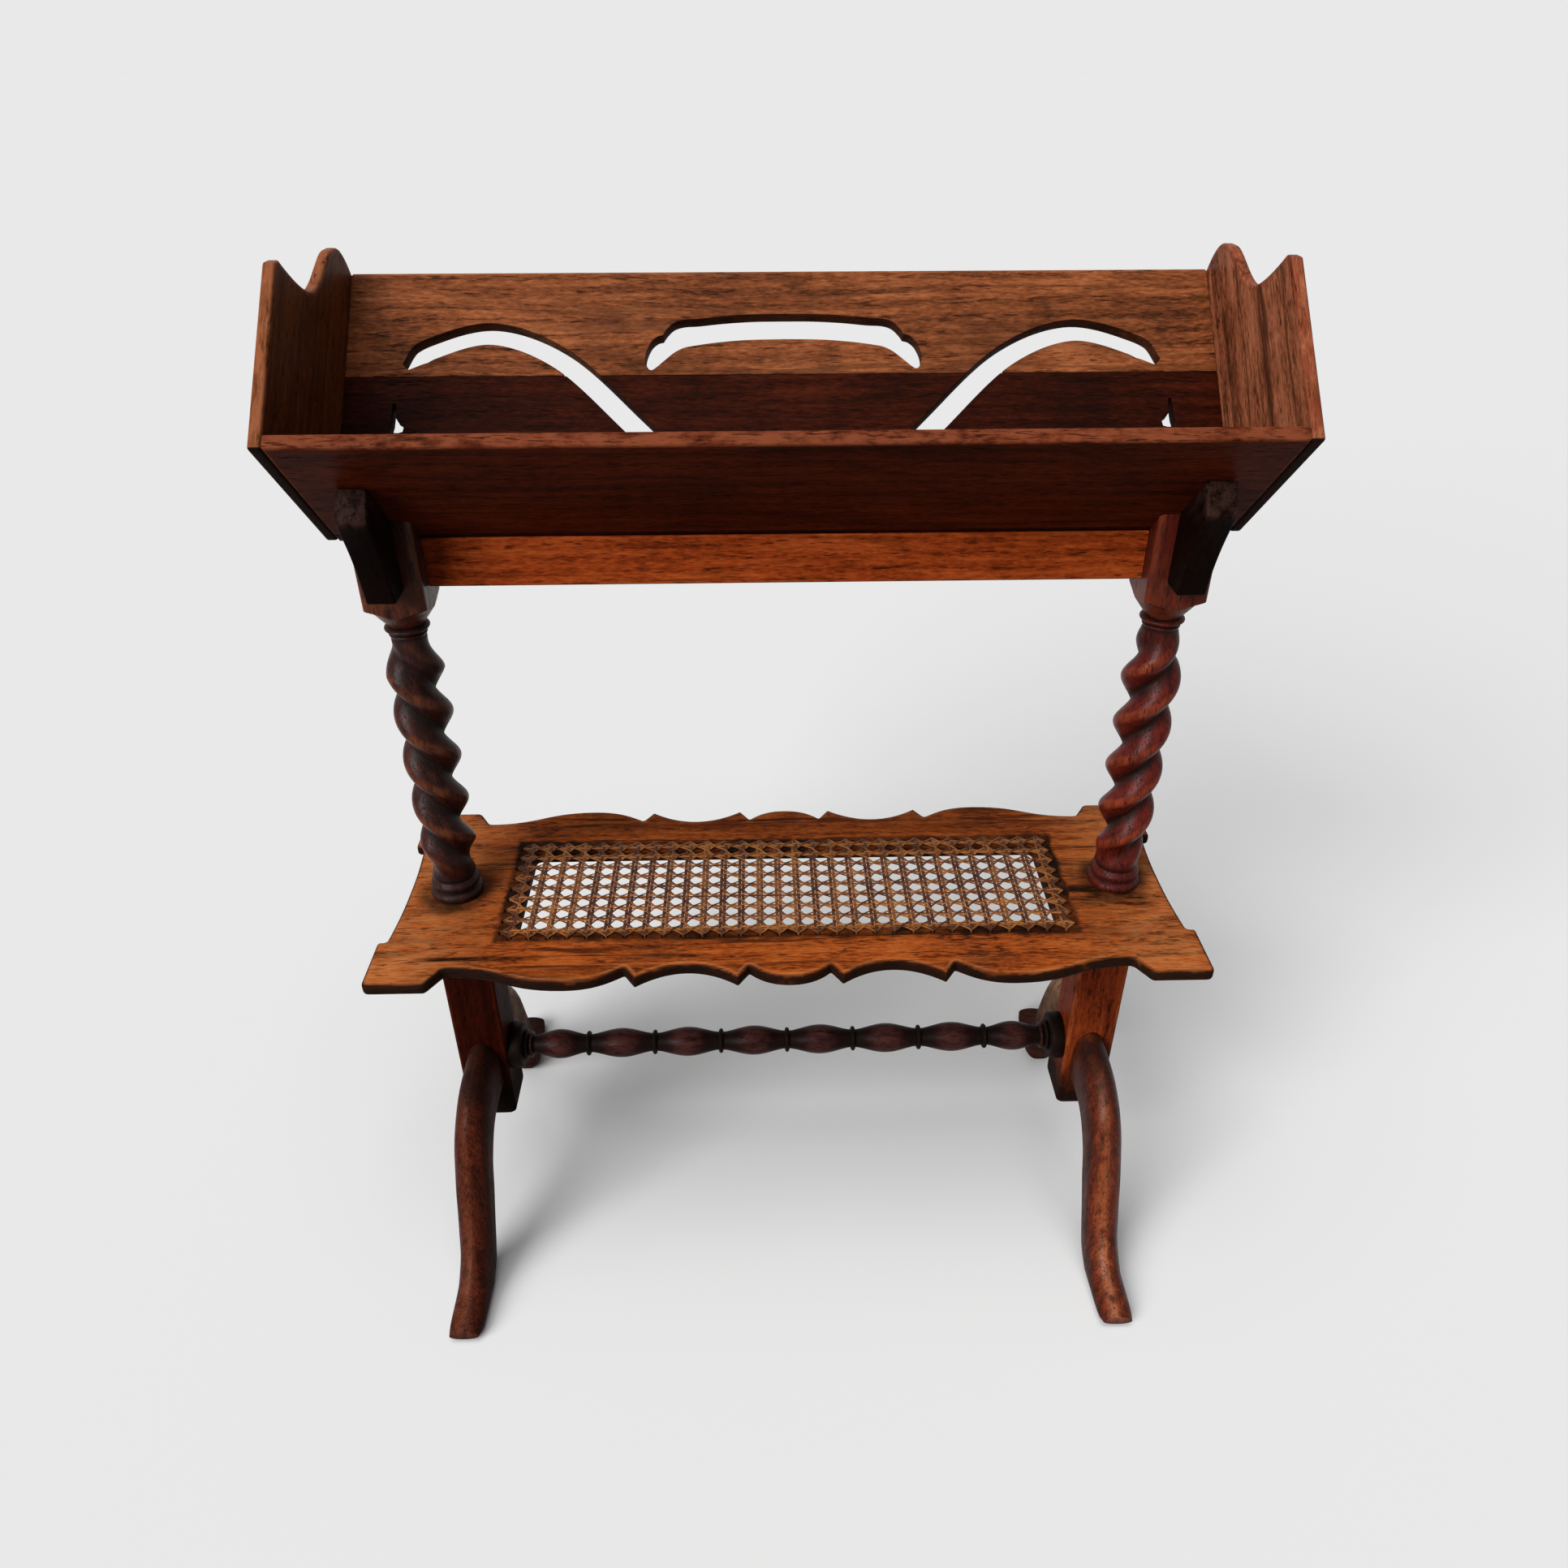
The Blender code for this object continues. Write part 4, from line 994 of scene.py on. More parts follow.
@dataclass
class Shelf(SubAssembly):
    """The serpentine shelf, with the cane's opening and its row of holes."""

    length: float = 0.600
    depth: float = 0.212
    ear_length: float = 0.044
    ear_depth: float = 0.047
    ear_step: float = 0.0065
    end_hollow: float = 0.003
    notch_depth: float = 0.016
    notch_run: float = 0.010
    lobe_peak: float = 0.160
    cusp_near: float = 0.037
    cusp_far: float = 0.110
    cusp_run: float = 0.008
    cusp_set_back: float = 0.002
    cusp_depth: float = 0.012
    hollow_depth: float = 0.014
    ledge: float = 0.011
    edge: float = 0.0030
    hole_radius: float = 0.0021
    finish: OakFinish = SHELF_OAK

    def outline(self) -> list[Point]:
        """The whole outline of the shelf, mirrored from one quarter.

        Returns:
            The outline in (x, y).
        """
        front, end = self.depth / 2, self.length / 2
        tip = front - self.cusp_set_back
        foot = tip - self.cusp_depth
        notch = (end - self.ear_length - self.notch_run, front - self.notch_depth)
        near, far = (self.cusp_near - self.cusp_run, foot), (self.cusp_far + self.cusp_run, foot)
        peak, edge = (self.lobe_peak, front), end - self.ear_step
        points = [(0.0, tip)]
        points += bezier(points[-1], (near[0] / 2, tip), (near[0] * 0.8, (tip + foot) / 2), near)
        points.append((self.cusp_near, tip))
        points += arc(points[-1], (self.cusp_far, tip), -self.hollow_depth, 24)
        points.append(far)
        reach = (peak[0] - far[0]) / 2
        points += bezier(far, (far[0] + reach / 2, (foot + front) / 2), (peak[0] - reach, front), peak)
        reach = (notch[0] - peak[0]) / 2
        points += bezier(peak, (peak[0] + reach, front), (notch[0] - reach, notch[1]), notch)
        points += [(end - self.ear_length, front), (end, front), (end, front - self.ear_depth),
                   (edge, front - self.ear_depth)]
        hollow = (edge - self.end_hollow, (front - self.ear_depth) / 2)
        points += bezier(points[-1], hollow, (hollow[0], hollow[1] / 2), (hollow[0], 0.0))
        right_front = [(x, -d) for x, d in points]
        right_back = [(x, d) for x, d in reversed(points[:-1])]
        left_back = [(-x, d) for x, d in points[1:]]
        left_front = [(-x, -d) for x, d in reversed(points[1:-1])]
        return right_front + right_back + left_back + left_front

    def holes(self) -> list[Rim]:
        """The drilled holes round the cane.

        Returns:
            The rims of the holes.
        """
        rims = []
        for x, y in Cane().holes():
            ring = [(x + self.hole_radius * cos(t), y + self.hole_radius * sin(t)) for t in full_turn(10)]
            # The hole's wall is darkened as painted shade.
            rims.append(Rim(ring, rounding=0.0003, margin=0.0008, corner=0.0, wear=0.0, hollow=1.0,
                            turn_limit=pi))
        return rims

    def build(self) -> None:
        """Build the shelf as one pierced plank."""
        half_length, half_depth = Cane.length / 2 - self.ledge, Cane.depth / 2 - self.ledge
        opening = [(-half_length, -half_depth), (half_length, -half_depth), (half_length, half_depth),
                   (-half_length, half_depth)]
        # The outer wall, the opening's wall and the holes are darkened as painted shade (hollow).
        rims = [Rim(self.outline(), rounding=self.edge, margin=0.0020, corner=0.0048, wear=0.8, hollow=1.5),
                Rim(opening, rounding=0.0008, margin=0.002, corner=0.004, wear=0.0, hollow=1.0)]
        shape = rounded_plate(rims + self.holes(), FRAME.shelf_top - FRAME.shelf_thickness, FRAME.shelf_top)
        self.add("shelf_plank", shape, self.finish, ["shelf_board"])


@dataclass
class Cane(SubAssembly):
    """The six-way cane: pairs along and across, and two sets of diagonals that leave octagons."""

    length: float = 0.4232
    depth: float = 0.1166
    columns: int = 30
    rows: int = 9
    across: float = 0.0024
    along: float = 0.0019
    diagonal: float = 0.0016
    thickness: float = 0.0006
    across_gap: float = 0.0027
    along_gap: float = 0.0021
    lift: float = 0.00045
    level: float = 0.0012
    dip: float = 0.0042
    end_inset: float = 0.02
    pair_lift: float = 0.55
    weave_lift: float = 1.3
    diagonal_lift: float = 2.2
    strand_sides: int = 6
    across_tone: float = -0.35
    along_tone: float = 0.2
    diagonal_tone: float = 0.0
    least_dirt: float = 0.2
    rim_dirt: Rise = Rise(-0.0056, 0.007, 0.8)
    # Dirt and painted shade along the back rows, where the trough's shadow falls.
    back_dirt_and_shade: Rise = Rise(-0.0165, 0.022, 0.8)
    seed: int = 7
    finish: CaneFinish = CaneFinish()

    @property
    def pitch(self) -> Point:
        """Distance between neighbouring pairs, along and across."""
        return self.length / self.columns, self.depth / self.rows

    def holes(self) -> list[Point]:
        """The middles of the holes that hold the cane's ends.

        Returns:
            The places in (x, y).
        """
        px, py = self.pitch
        along = [-self.length / 2 + (i + 0.5) * px for i in range(self.columns)]
        across = [-self.depth / 2 + (j + 0.5) * py for j in range(self.rows)]
        spots = [(x, s * self.depth / 2) for x in along for s in (-1, 1)]
        return spots + [(s * self.length / 2, y) for y in across for s in (-1, 1)]

    def _spot(self, a: float, b: float, height: float) -> Spot:
        """A point given in pitches from the cane's corner."""
        px, py = self.pitch
        return a * px - self.length / 2, b * py - self.depth / 2, FRAME.shelf_top + self.level + height

    def _dipped(self, points: Sequence[Spot], ends: Sequence[Spot]) -> list[Spot]:
        """A strand that bends down into a hole at each end."""
        down = Vector((0, 0, -self.dip))
        return [tuple(Vector(ends[0]) + down), ends[0], *points, ends[1], tuple(Vector(ends[1]) + down)]

    def strands(self) -> list[tuple[float, float, list[list[Spot]]]]:
        """The paths of all strands, in sets with the width and the tone of their strands.

        Returns:
            For each set the width, the tone and the paths.
        """
        px, py = self.pitch
        upright, straight, slanting = [], [], []
        for i in range(self.columns):
            ends = [self._spot(i + 0.5, b, 0) for b in (self.end_inset, self.rows - self.end_inset)]
            for way in (-1, 1):
                a, height = i + 0.5 + way * self.across_gap / 2 / px, way * self.pair_lift * self.lift
                path = [self._spot(a, b / 2, height) for b in range(1, 2 * self.rows)]
                upright.append(self._dipped(path, ends))
        for j in range(self.rows):
            ends = [self._spot(a, j + 0.5, 0) for a in (self.end_inset, self.columns - self.end_inset)]
            for way in (-1, 1):
                b = j + 0.5 + way * self.along_gap / 2 / py
                weave = self.weave_lift * self.lift if way > 0 else 0.0
                path = []
                for i in range(self.columns):
                    near, far = i + 0.5 - self.across_gap / 2 / px, i + 0.5 + self.across_gap / 2 / px
                    path += [self._spot(near, b, -weave), self._spot(far, b, weave)]
                straight.append(self._dipped(path, ends))
        for way in (1, -1):
            for k in range(-self.rows, self.columns):
                path = []
                for quarter in range(4 * self.rows + 1):
                    b = quarter / 4
                    a = k + 0.5 + (b if way > 0 else self.rows - b)
                    if -1e-6 <= a <= self.columns + 1e-6:
                        height = -way * self.diagonal_lift * self.lift * cos(2 * pi * b)
                        path.append(self._spot(a, b, height))
                if len(path) > 2:
                    ends = [tuple(Vector((p[0], p[1], FRAME.shelf_top + self.level))) for p in (path[0], path[-1])]
                    slanting.append(self._dipped(path[1:-1], ends))
        return [(self.across, self.across_tone, upright), (self.along, self.along_tone, straight),
                (self.diagonal, self.diagonal_tone, slanting)]

    def guide(self, paths: list[list[Spot]], tone: float) -> bpy.types.Mesh:
        """A mesh of plain edges along the strands, with a tone for each strand.

        Args:
            paths: the strands of one set.
            tone: the set's tone, to which each strand adds its own.

        Returns:
            The mesh, with strand and hollow attributes.
        """
        chance = random.Random(self.seed + len(paths))
        verts, edges, tones, hollows = [], [], [], []
        for path in paths:
            start, own = len(verts), tone + chance.random()
            verts += path
            edges += [(start + n, start + n + 1) for n in range(len(path) - 1)]
            tones += [own] * len(path)
            hollows += [self._hollow(spot) for spot in path]
        mesh = bpy.data.meshes.new("cane_guide")
        mesh.from_pydata(verts, edges, [])
        for name, values in (("strand", tones), ("hollow", hollows)):
            mesh.attributes.new(name, "FLOAT", "POINT").data.foreach_set("value", values)
        return mesh

    def _hollow(self, spot: Spot) -> float:
        """How dark the cane is made at a point: dirty most at its rim, a little in the middle, and dirty and in
        painted shade along the back.
        """
        over = max(abs(spot[0]) - self.length / 2, abs(spot[1]) - self.depth / 2)
        return max(self.least_dirt, self.rim_dirt.at(over), self.back_dirt_and_shade.at(spot[1] - self.depth / 2))

    @staticmethod
    def strand_nodes() -> NodeGroup:
        """A tree that sweeps a flat oval along every path of a guide mesh.

        Returns:
            The tree.
        """
        group = NodeGroup(
            "cane_strands", "GeometryNodeTree",
            {"Geometry": ("Geometry", None), "Width": ("Float", 0.0017), "Thickness": ("Float", 0.0005),
             "Sides": ("Int", 6), "Material": ("Material", None)},
            {"Geometry": "Geometry"})
        g, given = group.graph, group.given
        curve = g.out("GeometryNodeMeshToCurve", {0: given["Geometry"]})
        curve = g.out("GeometryNodeSetCurveNormal", {0: curve}, mode="Z_UP")
        oval = g.out("GeometryNodeCurvePrimitiveCircle", {"Resolution": given["Sides"], "Radius": 0.5})
        size = g.out("ShaderNodeCombineXYZ", {0: given["Width"], 1: given["Thickness"], 2: 1.0})
        oval = g.out("GeometryNodeTransform", {"Geometry": oval, "Scale": size})
        made = g.out("GeometryNodeCurveToMesh", {"Curve": curve, "Profile Curve": oval, "Fill Caps": True})
        made = g.out("GeometryNodeSetShadeSmooth", {"Geometry": made})
        made = g.out("GeometryNodeRealizeInstances", {0: made})
        made = g.out("GeometryNodeSetMaterial", {"Geometry": made, "Material": given["Material"]})
        group.put("Geometry", made)
        return group

    def build(self) -> None:
        """Weave the strands and join them to one piece."""
        tree = self.strand_nodes()
        shape = bmesh.new()
        for width, tone, paths in self.strands():
            made = through_nodes("cane", self.guide(paths, tone), tree,
                                 {"Width": width, "Thickness": self.thickness, "Sides": self.strand_sides,
                                  "Material": FINISHES.material(self.finish)})
            shape.from_mesh(made)
        bmesh.ops.recalc_face_normals(shape, faces=shape.faces)
        self.add("cane_weave", shape, self.finish, ["cane_panel"], 70.0)


COLUMN_OAK = {
    "left": OakFinish(
        "dark_column_oak_left", "oak_dark", deep=(0.004, 0.0015, 0.001), middle=(0.029, 0.0068, 0.0046),
        pale=(0.064, 0.0172, 0.0115), worn=(0.170, 0.046, 0.017), grain=Grain.ALONG_Z, shift=(0.2, 0.05, 0.04),
        streaks=0.6, wear=0.65, patches=0.06, grime_and_shade=0.97, sheen=0.34, shine=0.1),
    "right": OakFinish(
        "dark_column_oak_right", "oak_dark", deep=(0.006, 0.0018, 0.0013), middle=(0.086, 0.0088, 0.0054),
        pale=(0.154, 0.0170, 0.0098), worn=(0.255, 0.046, 0.0155), grain=Grain.ALONG_Z, shift=(-0.1, 0.03, 0.06),
        streaks=0.4, wear=0.7, patches=0.06, grime_and_shade=0.97, sheen=0.32, shine=0.10),
}


@dataclass
class Columns(SubAssembly):
    """Two columns, each turned, then carved with a twist of two ridges; heights from the shelf."""

    height: float = 0.283
    block_drop: float = 0.057
    shoulder: float = 0.017
    neck: float = 0.009
    neck_radius: float = 0.0118
    ridge_radius: float = 0.0202
    groove_radius: float = 0.0108
    lead: float = 0.073
    fade: float = 0.14
    fullness: float = 1.5
    base: float = 0.020
    base_radius: float = 0.0197
    base_neck: float = 0.0160
    worn_corner: float = 0.0013
    sides: int = 96
    rows: int = 150
    base_turning: Sequence[Point] = (
        (0.88, 0.0), (0.97, 0.07), (1.0, 0.17), (0.97, 0.28), (0.88, 0.36), (0.79, 0.41), (0.80, 0.45), (0.89, 0.52),
        (0.915, 0.60), (0.895, 0.70), (0.83, 0.78), (0.77, 0.86))
    neck_turning: Sequence[Point] = (
        (1.0, 0.08), (1.04, 0.18), (1.08, 0.27), (1.03, 0.36), (0.97, 0.42), (1.05, 0.50), (1.20, 0.62), (1.27, 0.75),
        (1.21, 0.89), (1.06, 0.98))
    shoulder_turning: Sequence[Point] = ((0.0, 0.0), (0.40, 0.30), (0.80, 0.62), (1.0, 1.0))
    corner_share: float = 1.30
    first_turns: Mapping[str, float] = field(
        default_factory=lambda: {"left": radians(154), "right": radians(105)})
    # Painted shade on the square head; the right one lies in its arm's shade.
    head_shade: Mapping[str, float] = field(default_factory=lambda: {"left": 0.0, "right": 0.4})
    base_dirt: float = 0.4

    @property
    def twist_end(self) -> float:
        """Height at which the twist ends."""
        return self.height - self.block_drop - self.neck

    def turned_profile(self) -> list[Point]:
        """Radius and height of the turned blank, from its foot to the shoulder.

        Returns:
            The profile, as radius and height.
        """
        foot = FRAME.glue_line
        base = smooth_path(self.base_turning, 3)
        points = [(r * self.base_radius, foot + (self.base - foot) * h) for r, h in base]
        length = self.twist_end - self.base
        for row in range(self.rows + 1):
            share = row / self.rows
            radius = self.base_neck + (self.neck_radius - self.base_neck) * min(1.0, share / self.fade)
            points.append((radius, self.base + length * share))
        beads = smooth_path(self.neck_turning, 3)
        return points + [(r * self.neck_radius, self.twist_end + self.neck * h) for r, h in beads]

    def square_radius(self, turn: float) -> float:
        """Radius of the square head, its corners a little worn."""
        plain = FRAME.block / 2 / max(abs(cos(turn)), abs(sin(turn)))
        return min(plain, FRAME.block / ROOT_TWO - self.worn_corner)

    def blank(self, side: str) -> Shape:
        """The column before the twist is carved, its axis on Z and the shelf at height 0.

        Args:
            side: which column it is, for the painted shade on its head.

        Returns:
            The blank's shape.
        """
        turns = full_turn(self.sides)
        rings = [[(r * cos(t), r * sin(t), h) for t in turns] for r, h in self.turned_profile()]
        low, corner = self.height - self.block_drop, FRAME.block / ROOT_TWO
        for share, spread in smooth_path(self.shoulder_turning, 6):
            radius = self.neck_radius + (corner - self.neck_radius) * spread
            outs = [min(self.square_radius(t), radius) for t in turns]
            rings.append([(out * cos(t), out * sin(t), low + self.shoulder * share)
                          for out, t in zip(outs, turns)])
        notch = self.height - FRAME.glue_line * ROOT_TWO
        head = [(self.square_radius(t) * cos(t), self.square_radius(t) * sin(t)) for t in turns]
        rings.append([(x, y, notch + abs(y)) for x, y in head])
        shape = ring_stack(rings, valley=True)
        edge, hollow = mask_layers(shape)
        # Height of each groove, and how far its dirt and painted shade reach.
        grooves = ((0.43 * self.base, 0.0024), (1.02 * self.base, 0.0042), (self.twist_end + 0.42 * self.neck, 0.0013),
                   (self.twist_end, 0.002), (low, 0.0016))
        for vert in shape.verts:
            out = hypot(vert.co.x, vert.co.y)
            square = vert.co.z > low
            at_corner = out > self.corner_share * FRAME.block / 2
            vert[edge] = float(square and (at_corner or vert.co.z < low + self.shoulder * 1.01))
            # The head is darkened with painted shade, the base with dirt, and the grooves with dirt and painted shade.
            dirt_and_shade = self.head_shade[side] if square else self.base_dirt if vert.co.z < self.base else 0.0
            vert[hollow] = max(dirt_and_shade, *(1.0 - abs(vert.co.z - at) / reach for at, reach in grooves))
        return shape

    @staticmethod
    def twist_nodes() -> NodeGroup:
        """A tree that carves the twist into a turned blank and marks its ridges and grooves.

        Returns:
            The tree.
        """
        sizes = {"Geometry": ("Geometry", None), "Start": ("Float", 0.02), "End": ("Float", 0.2),
                 "Ridge Radius": ("Float", 0.02), "Groove Radius": ("Float", 0.01), "Lead": ("Float", 0.07),
                 "First Turn": ("Float", 0.0), "Fade": ("Float", 0.14), "Fullness": ("Float", 1.1)}
        group = NodeGroup("barley_twist", "GeometryNodeTree", sizes, {"Geometry": "Geometry"})
        g, given = group.graph, group.given
        spot = g.add("ShaderNodeSeparateXYZ", {0: g.out("GeometryNodeInputPosition")}).outputs
        length = g.minus(given["End"], given["Start"])
        rise = g.minus(spot[2], given["Start"])
        share = g.math("DIVIDE", rise, length)
        ends = g.math("MINIMUM", share, g.minus(1.0, share))
        fade = g.math("DIVIDE", ends, given["Fade"], clamp=True)
        angle = g.math("ARCTAN2", spot[1], spot[0])
        turn = g.times(g.math("DIVIDE", rise, given["Lead"]), 2 * pi)
        phase = g.minus(g.minus(angle, given["First Turn"]), turn)
        swell = g.math("POWER", g.math("ABSOLUTE", g.math("COSINE", phase)), given["Fullness"])
        swing = g.minus(given["Ridge Radius"], given["Groove Radius"])
        carved = g.plus(given["Groove Radius"], g.times(swing, swell))
        out = g.math("SQRT", g.plus(g.times(spot[0], spot[0]), g.times(spot[1], spot[1])))
        radius = g.plus(out, g.times(g.minus(carved, out), fade))
        grow = g.math("DIVIDE", radius, g.larger(out, 1e-6))
        place = g.out("ShaderNodeCombineXYZ", {0: g.times(spot[0], grow), 1: g.times(spot[1], grow), 2: spot[2]})
        ridge = g.times(g.ramp(swell, 0.84, 0.995), fade)
        # The twist's grooves are darkened with dirt and painted shade.
        groove = g.times(g.ramp(swell, 0.03, 0.55, 1.0, 0.0), fade)
        made = given["Geometry"]
        for name, value in (("edge", ridge), ("hollow", groove)):
            old = g.out("GeometryNodeInputNamedAttribute", {"Name": name}, data_type="FLOAT")
            feeds = {"Geometry": made, "Name": name, "Value": g.larger(old, value)}
            made = g.out("GeometryNodeStoreNamedAttribute", feeds, data_type="FLOAT", domain="POINT")
        made = g.out("GeometryNodeSetPosition", {"Geometry": made, "Position": place})
        made = g.out("GeometryNodeRealizeInstances", {0: made})
        group.put("Geometry", made)
        return group

    def build(self) -> None:
        """Turn and carve both columns."""
        tree = self.twist_nodes()
        for side, sign in SIDES.items():
            blank = bpy.data.meshes.new(f"column_blank_{side}")
            shape = self.blank(side)
            shape.to_mesh(blank)
            shape.free()
            made = through_nodes(f"column_{side}", blank, tree,
                                 {"Start": self.base, "End": self.twist_end, "Ridge Radius": self.ridge_radius,
                                  "Groove Radius": self.groove_radius, "Lead": sign * self.lead,
                                  "First Turn": self.first_turns[side], "Fade": self.fade, "Fullness": self.fullness})
            made.transform(Matrix.Translation((sign * FRAME.column_x, 0, FRAME.shelf_top)))
            self.add(f"twist_column_{side}", made, COLUMN_OAK[side], [f"column_{side}"], 50.0)


POST_OAK = {
    # The left post is far darker than the right one: its colour paints the shade on its face.
    "left": OakFinish(
        "shaded_red_post_oak_left", "oak_red", deep=(0.007, 0.0008, 0.0002), middle=(0.026, 0.0030, 0.0008),
        pale=(0.045, 0.0056, 0.0015), worn=(0.070, 0.012, 0.0035), grain=Grain.ALONG_Z, shift=(0.4, 0.11, 0.02),
        patches=0.06, grime_and_shade=0.97, shine=0.015),
    "right": OakFinish(
        "red_post_oak_right", "oak_red", deep=(0.038, 0.004, 0.001), middle=(0.166, 0.0235, 0.005),
        pale=(0.255, 0.045, 0.010), worn=(0.300, 0.070, 0.018), grain=Grain.ALONG_Z, shift=(0.1, 0.13, -0.05),
        patches=0.06, grime_and_shade=0.97),
}
LEG_OAK = {
    "front_left": OakFinish(
        "red_leg_oak_left", "oak_red", deep=(0.007, 0.0015, 0.0006), middle=(0.060, 0.0102, 0.004),
        pale=(0.135, 0.027, 0.011), worn=(0.200, 0.062, 0.028), grain=Grain.ALONG_Z, shift=(0.22, 0.05, 0.03),
        wear=0.45, patches=0.06, grime_and_shade=0.97, stain=0.6, sheen=0.38, shine=0.05),
    "front_right": OakFinish(
        "red_leg_oak_right", "oak_red", deep=(0.012, 0.002, 0.001), middle=(0.108, 0.0150, 0.0042),
        pale=(0.250, 0.044, 0.0120), worn=(0.400, 0.124, 0.044), grain=Grain.ALONG_Z, shift=(0.42, 0.02, 0.09),
        wear=0.7, patches=0.04, grime_and_shade=0.97, stain=0.85, sheen=0.30, shine=0.11),
    "rear": OakFinish(
        "rubbed_leg_oak", "oak_red", deep=(0.018, 0.004, 0.0015), middle=(0.110, 0.024, 0.009),
        pale=(0.210, 0.055, 0.021), worn=(0.420, 0.215, 0.118), grain=Grain.ALONG_Z, shift=(0.52, 0.07, 0.12),
        wear=1.0, patches=0.05, grime_and_shade=0.97, stain=0.3, sheen=0.5),
}
DOWEL_OAK = OakFinish(
    "raw_dowel_oak", "oak_dowel", deep=(0.16, 0.075, 0.030), middle=(0.30, 0.155, 0.065), pale=(0.40, 0.23, 0.11),
    worn=(0.42, 0.25, 0.12), grain=Grain.ALONG_Y, wear=0.0, patches=0.0, grime_and_shade=0.0, streaks=0.2, sheen=0.6)


@dataclass
class Stand(SubAssembly):
    """The posts below the shelf, and the sabre legs on their fronts and backs."""

    post_bottom: float = 0.081
    post_foot: float = 0.014
    post_edge: float = 0.0022
    post_margin: float = 0.0012
    post_rings: Sequence[float] = (0.022, 0.034, 0.050, 0.062)
    # Dirt on the post's lower end, running up into painted shade under the stretcher's collar.
    post_dirt_and_shade: Rise = Rise(0.063, -0.030, 1.6)
    leg_width: float = 0.027
    splay: float = 0.006
    top: float = 0.173
    root: float = 0.056
    reach: float = 0.1545
    crest: Sequence[Point] = (
        (0.036, 0.165), (0.063, 0.144), (0.079, 0.112), (0.0885, 0.080), (0.103, 0.049), (0.126, 0.0245))
    hollow: Sequence[Point] = (
        (0.034, 0.111), (0.054, 0.090), (0.064, 0.064), (0.077, 0.036), (0.0870, 0.0135), (0.0922, 0.0042))
    heel: float = 0.0985
    toe: float = 0.0145
    toe_lift: float = 0.004
    crest_rounding: Point = (0.0133, 0.026)
    back_rounding: Point = (0.0105, 0.014)
    steps: int = 8
    corner_steps: int = 6
    toe_shrinks: Sequence[float] = (0.998, 0.985, 0.95, 0.86)
    # Wear along the front legs' crest, set to the lit side of the middle as a painted highlight.
    crest_highlight_place: float = 7.5
    crest_wear_and_highlight: float = 2.6
    # Painted shade on the legs' rounded sides.
    side_shade: Rise = Rise(0.78, 0.25, 0.7)
    # Painted shade on the front legs towards their root at the post.
    root_shade: Rise = Rise(0.148, 0.014, 0.85)
    # Rear legs darker towards the floor.
    foot_darkening: Rise = Rise(0.100, -0.04, 0.9)
    inner_rub: Rise = Rise(-2 / 11, -5 / 11, 1.6)
    rub_height: Rise = Rise(0.07, 0.05)

    def post_ring(self, sign: int, depth: float, height: float) -> list[Spot]:
        """A level ring of the post, drawn in by some depth near its rounded lower end.

        Args:
            sign: -1 for the left post, 1 for the right one.
            depth: how far the ring is drawn in.
            height: its height.

        Returns:
            The ring's points.
        """
        x, half = sign * FRAME.column_x, FRAME.post / 2 - depth
        radius = min(self.post_edge + 0.8 * depth, half * 0.95)
        ring = []
        for number, (a, b) in enumerate(((1, 1), (-1, 1), (-1, -1), (1, -1))):
            for step in range(-1, self.corner_steps + 2):
                turn = pi / 2 * (number + min(max(step, 0), self.corner_steps) / self.corner_steps)
                past = self.post_margin * (-1 if step < 0 else float(step > self.corner_steps))
                ring.append((x + a * (half - radius) + radius * cos(turn) - past * sin(turn),
                             b * (half - radius) + radius * sin(turn) + past * cos(turn), height))
        return ring

    def post_shape(self, sign: int) -> Shape:
        """A square post with softened edges and a rounded lower end.

        Args:
            sign: -1 for the left post, 1 for the right one.

        Returns:
            Its shape.
        """
        top = FRAME.shelf_top - FRAME.shelf_thickness - FRAME.glue_line
        turns = [pi / 2 * step / 8 for step in range(9)]
        rings = [self.post_ring(sign, self.post_foot * (1 - sin(t)),
                                self.post_bottom + self.post_foot * (1 - cos(t))) for t in turns]
        rings += [self.post_ring(sign, 0.0, self.post_bottom + rise) for rise in self.post_rings]
        shape = ring_stack([*rings, self.post_ring(sign, 0.0, top)])
        edge, hollow = mask_layers(shape)
        for index, vert in enumerate(shape.verts):
            place, last = index % (self.corner_steps + 3), self.corner_steps + 2
            vert[edge] = float(0 < place < last and vert.co.z > self.post_bottom + self.post_foot)
            # Dirt and painted shade towards the post's lower end.
            vert[hollow] = self.post_dirt_and_shade.at(vert.co.z - self.post_bottom)
        return shape

    def stations(self) -> list[tuple[Point, Point]]:
        """Pairs of points on the crest and the underside of a leg, from its root to its toe.

        Returns:
            The pairs, each point as outwards and up.
        """
        crest = smooth_path([(0.0, self.top), *self.crest, (self.reach, self.toe)], self.steps)
        under = smooth_path([(0.0, self.top - self.root), *self.hollow, (self.heel, 0.0)], self.steps)
        bend = len(self.crest) * self.steps
        pairs = []
        for step in range(len(under)):
            at = step / (len(under) - 1) * bend
            low = min(int(at), bend - 1)
            spot = Vector(crest[low]).lerp(Vector(crest[low + 1]), at - low)
            pairs.append((tuple(spot), under[step]))
        rest = crest[bend:]
        flat_end = self.reach - 2 * self.toe_lift
        for step, spot in enumerate(rest[1:], 1):
            share = step / (len(rest) - 1)
            out = self.heel + (self.reach - self.heel) * share
            pairs.append((spot, (out, max(0.0, (out - flat_end) / 2))))
        return pairs

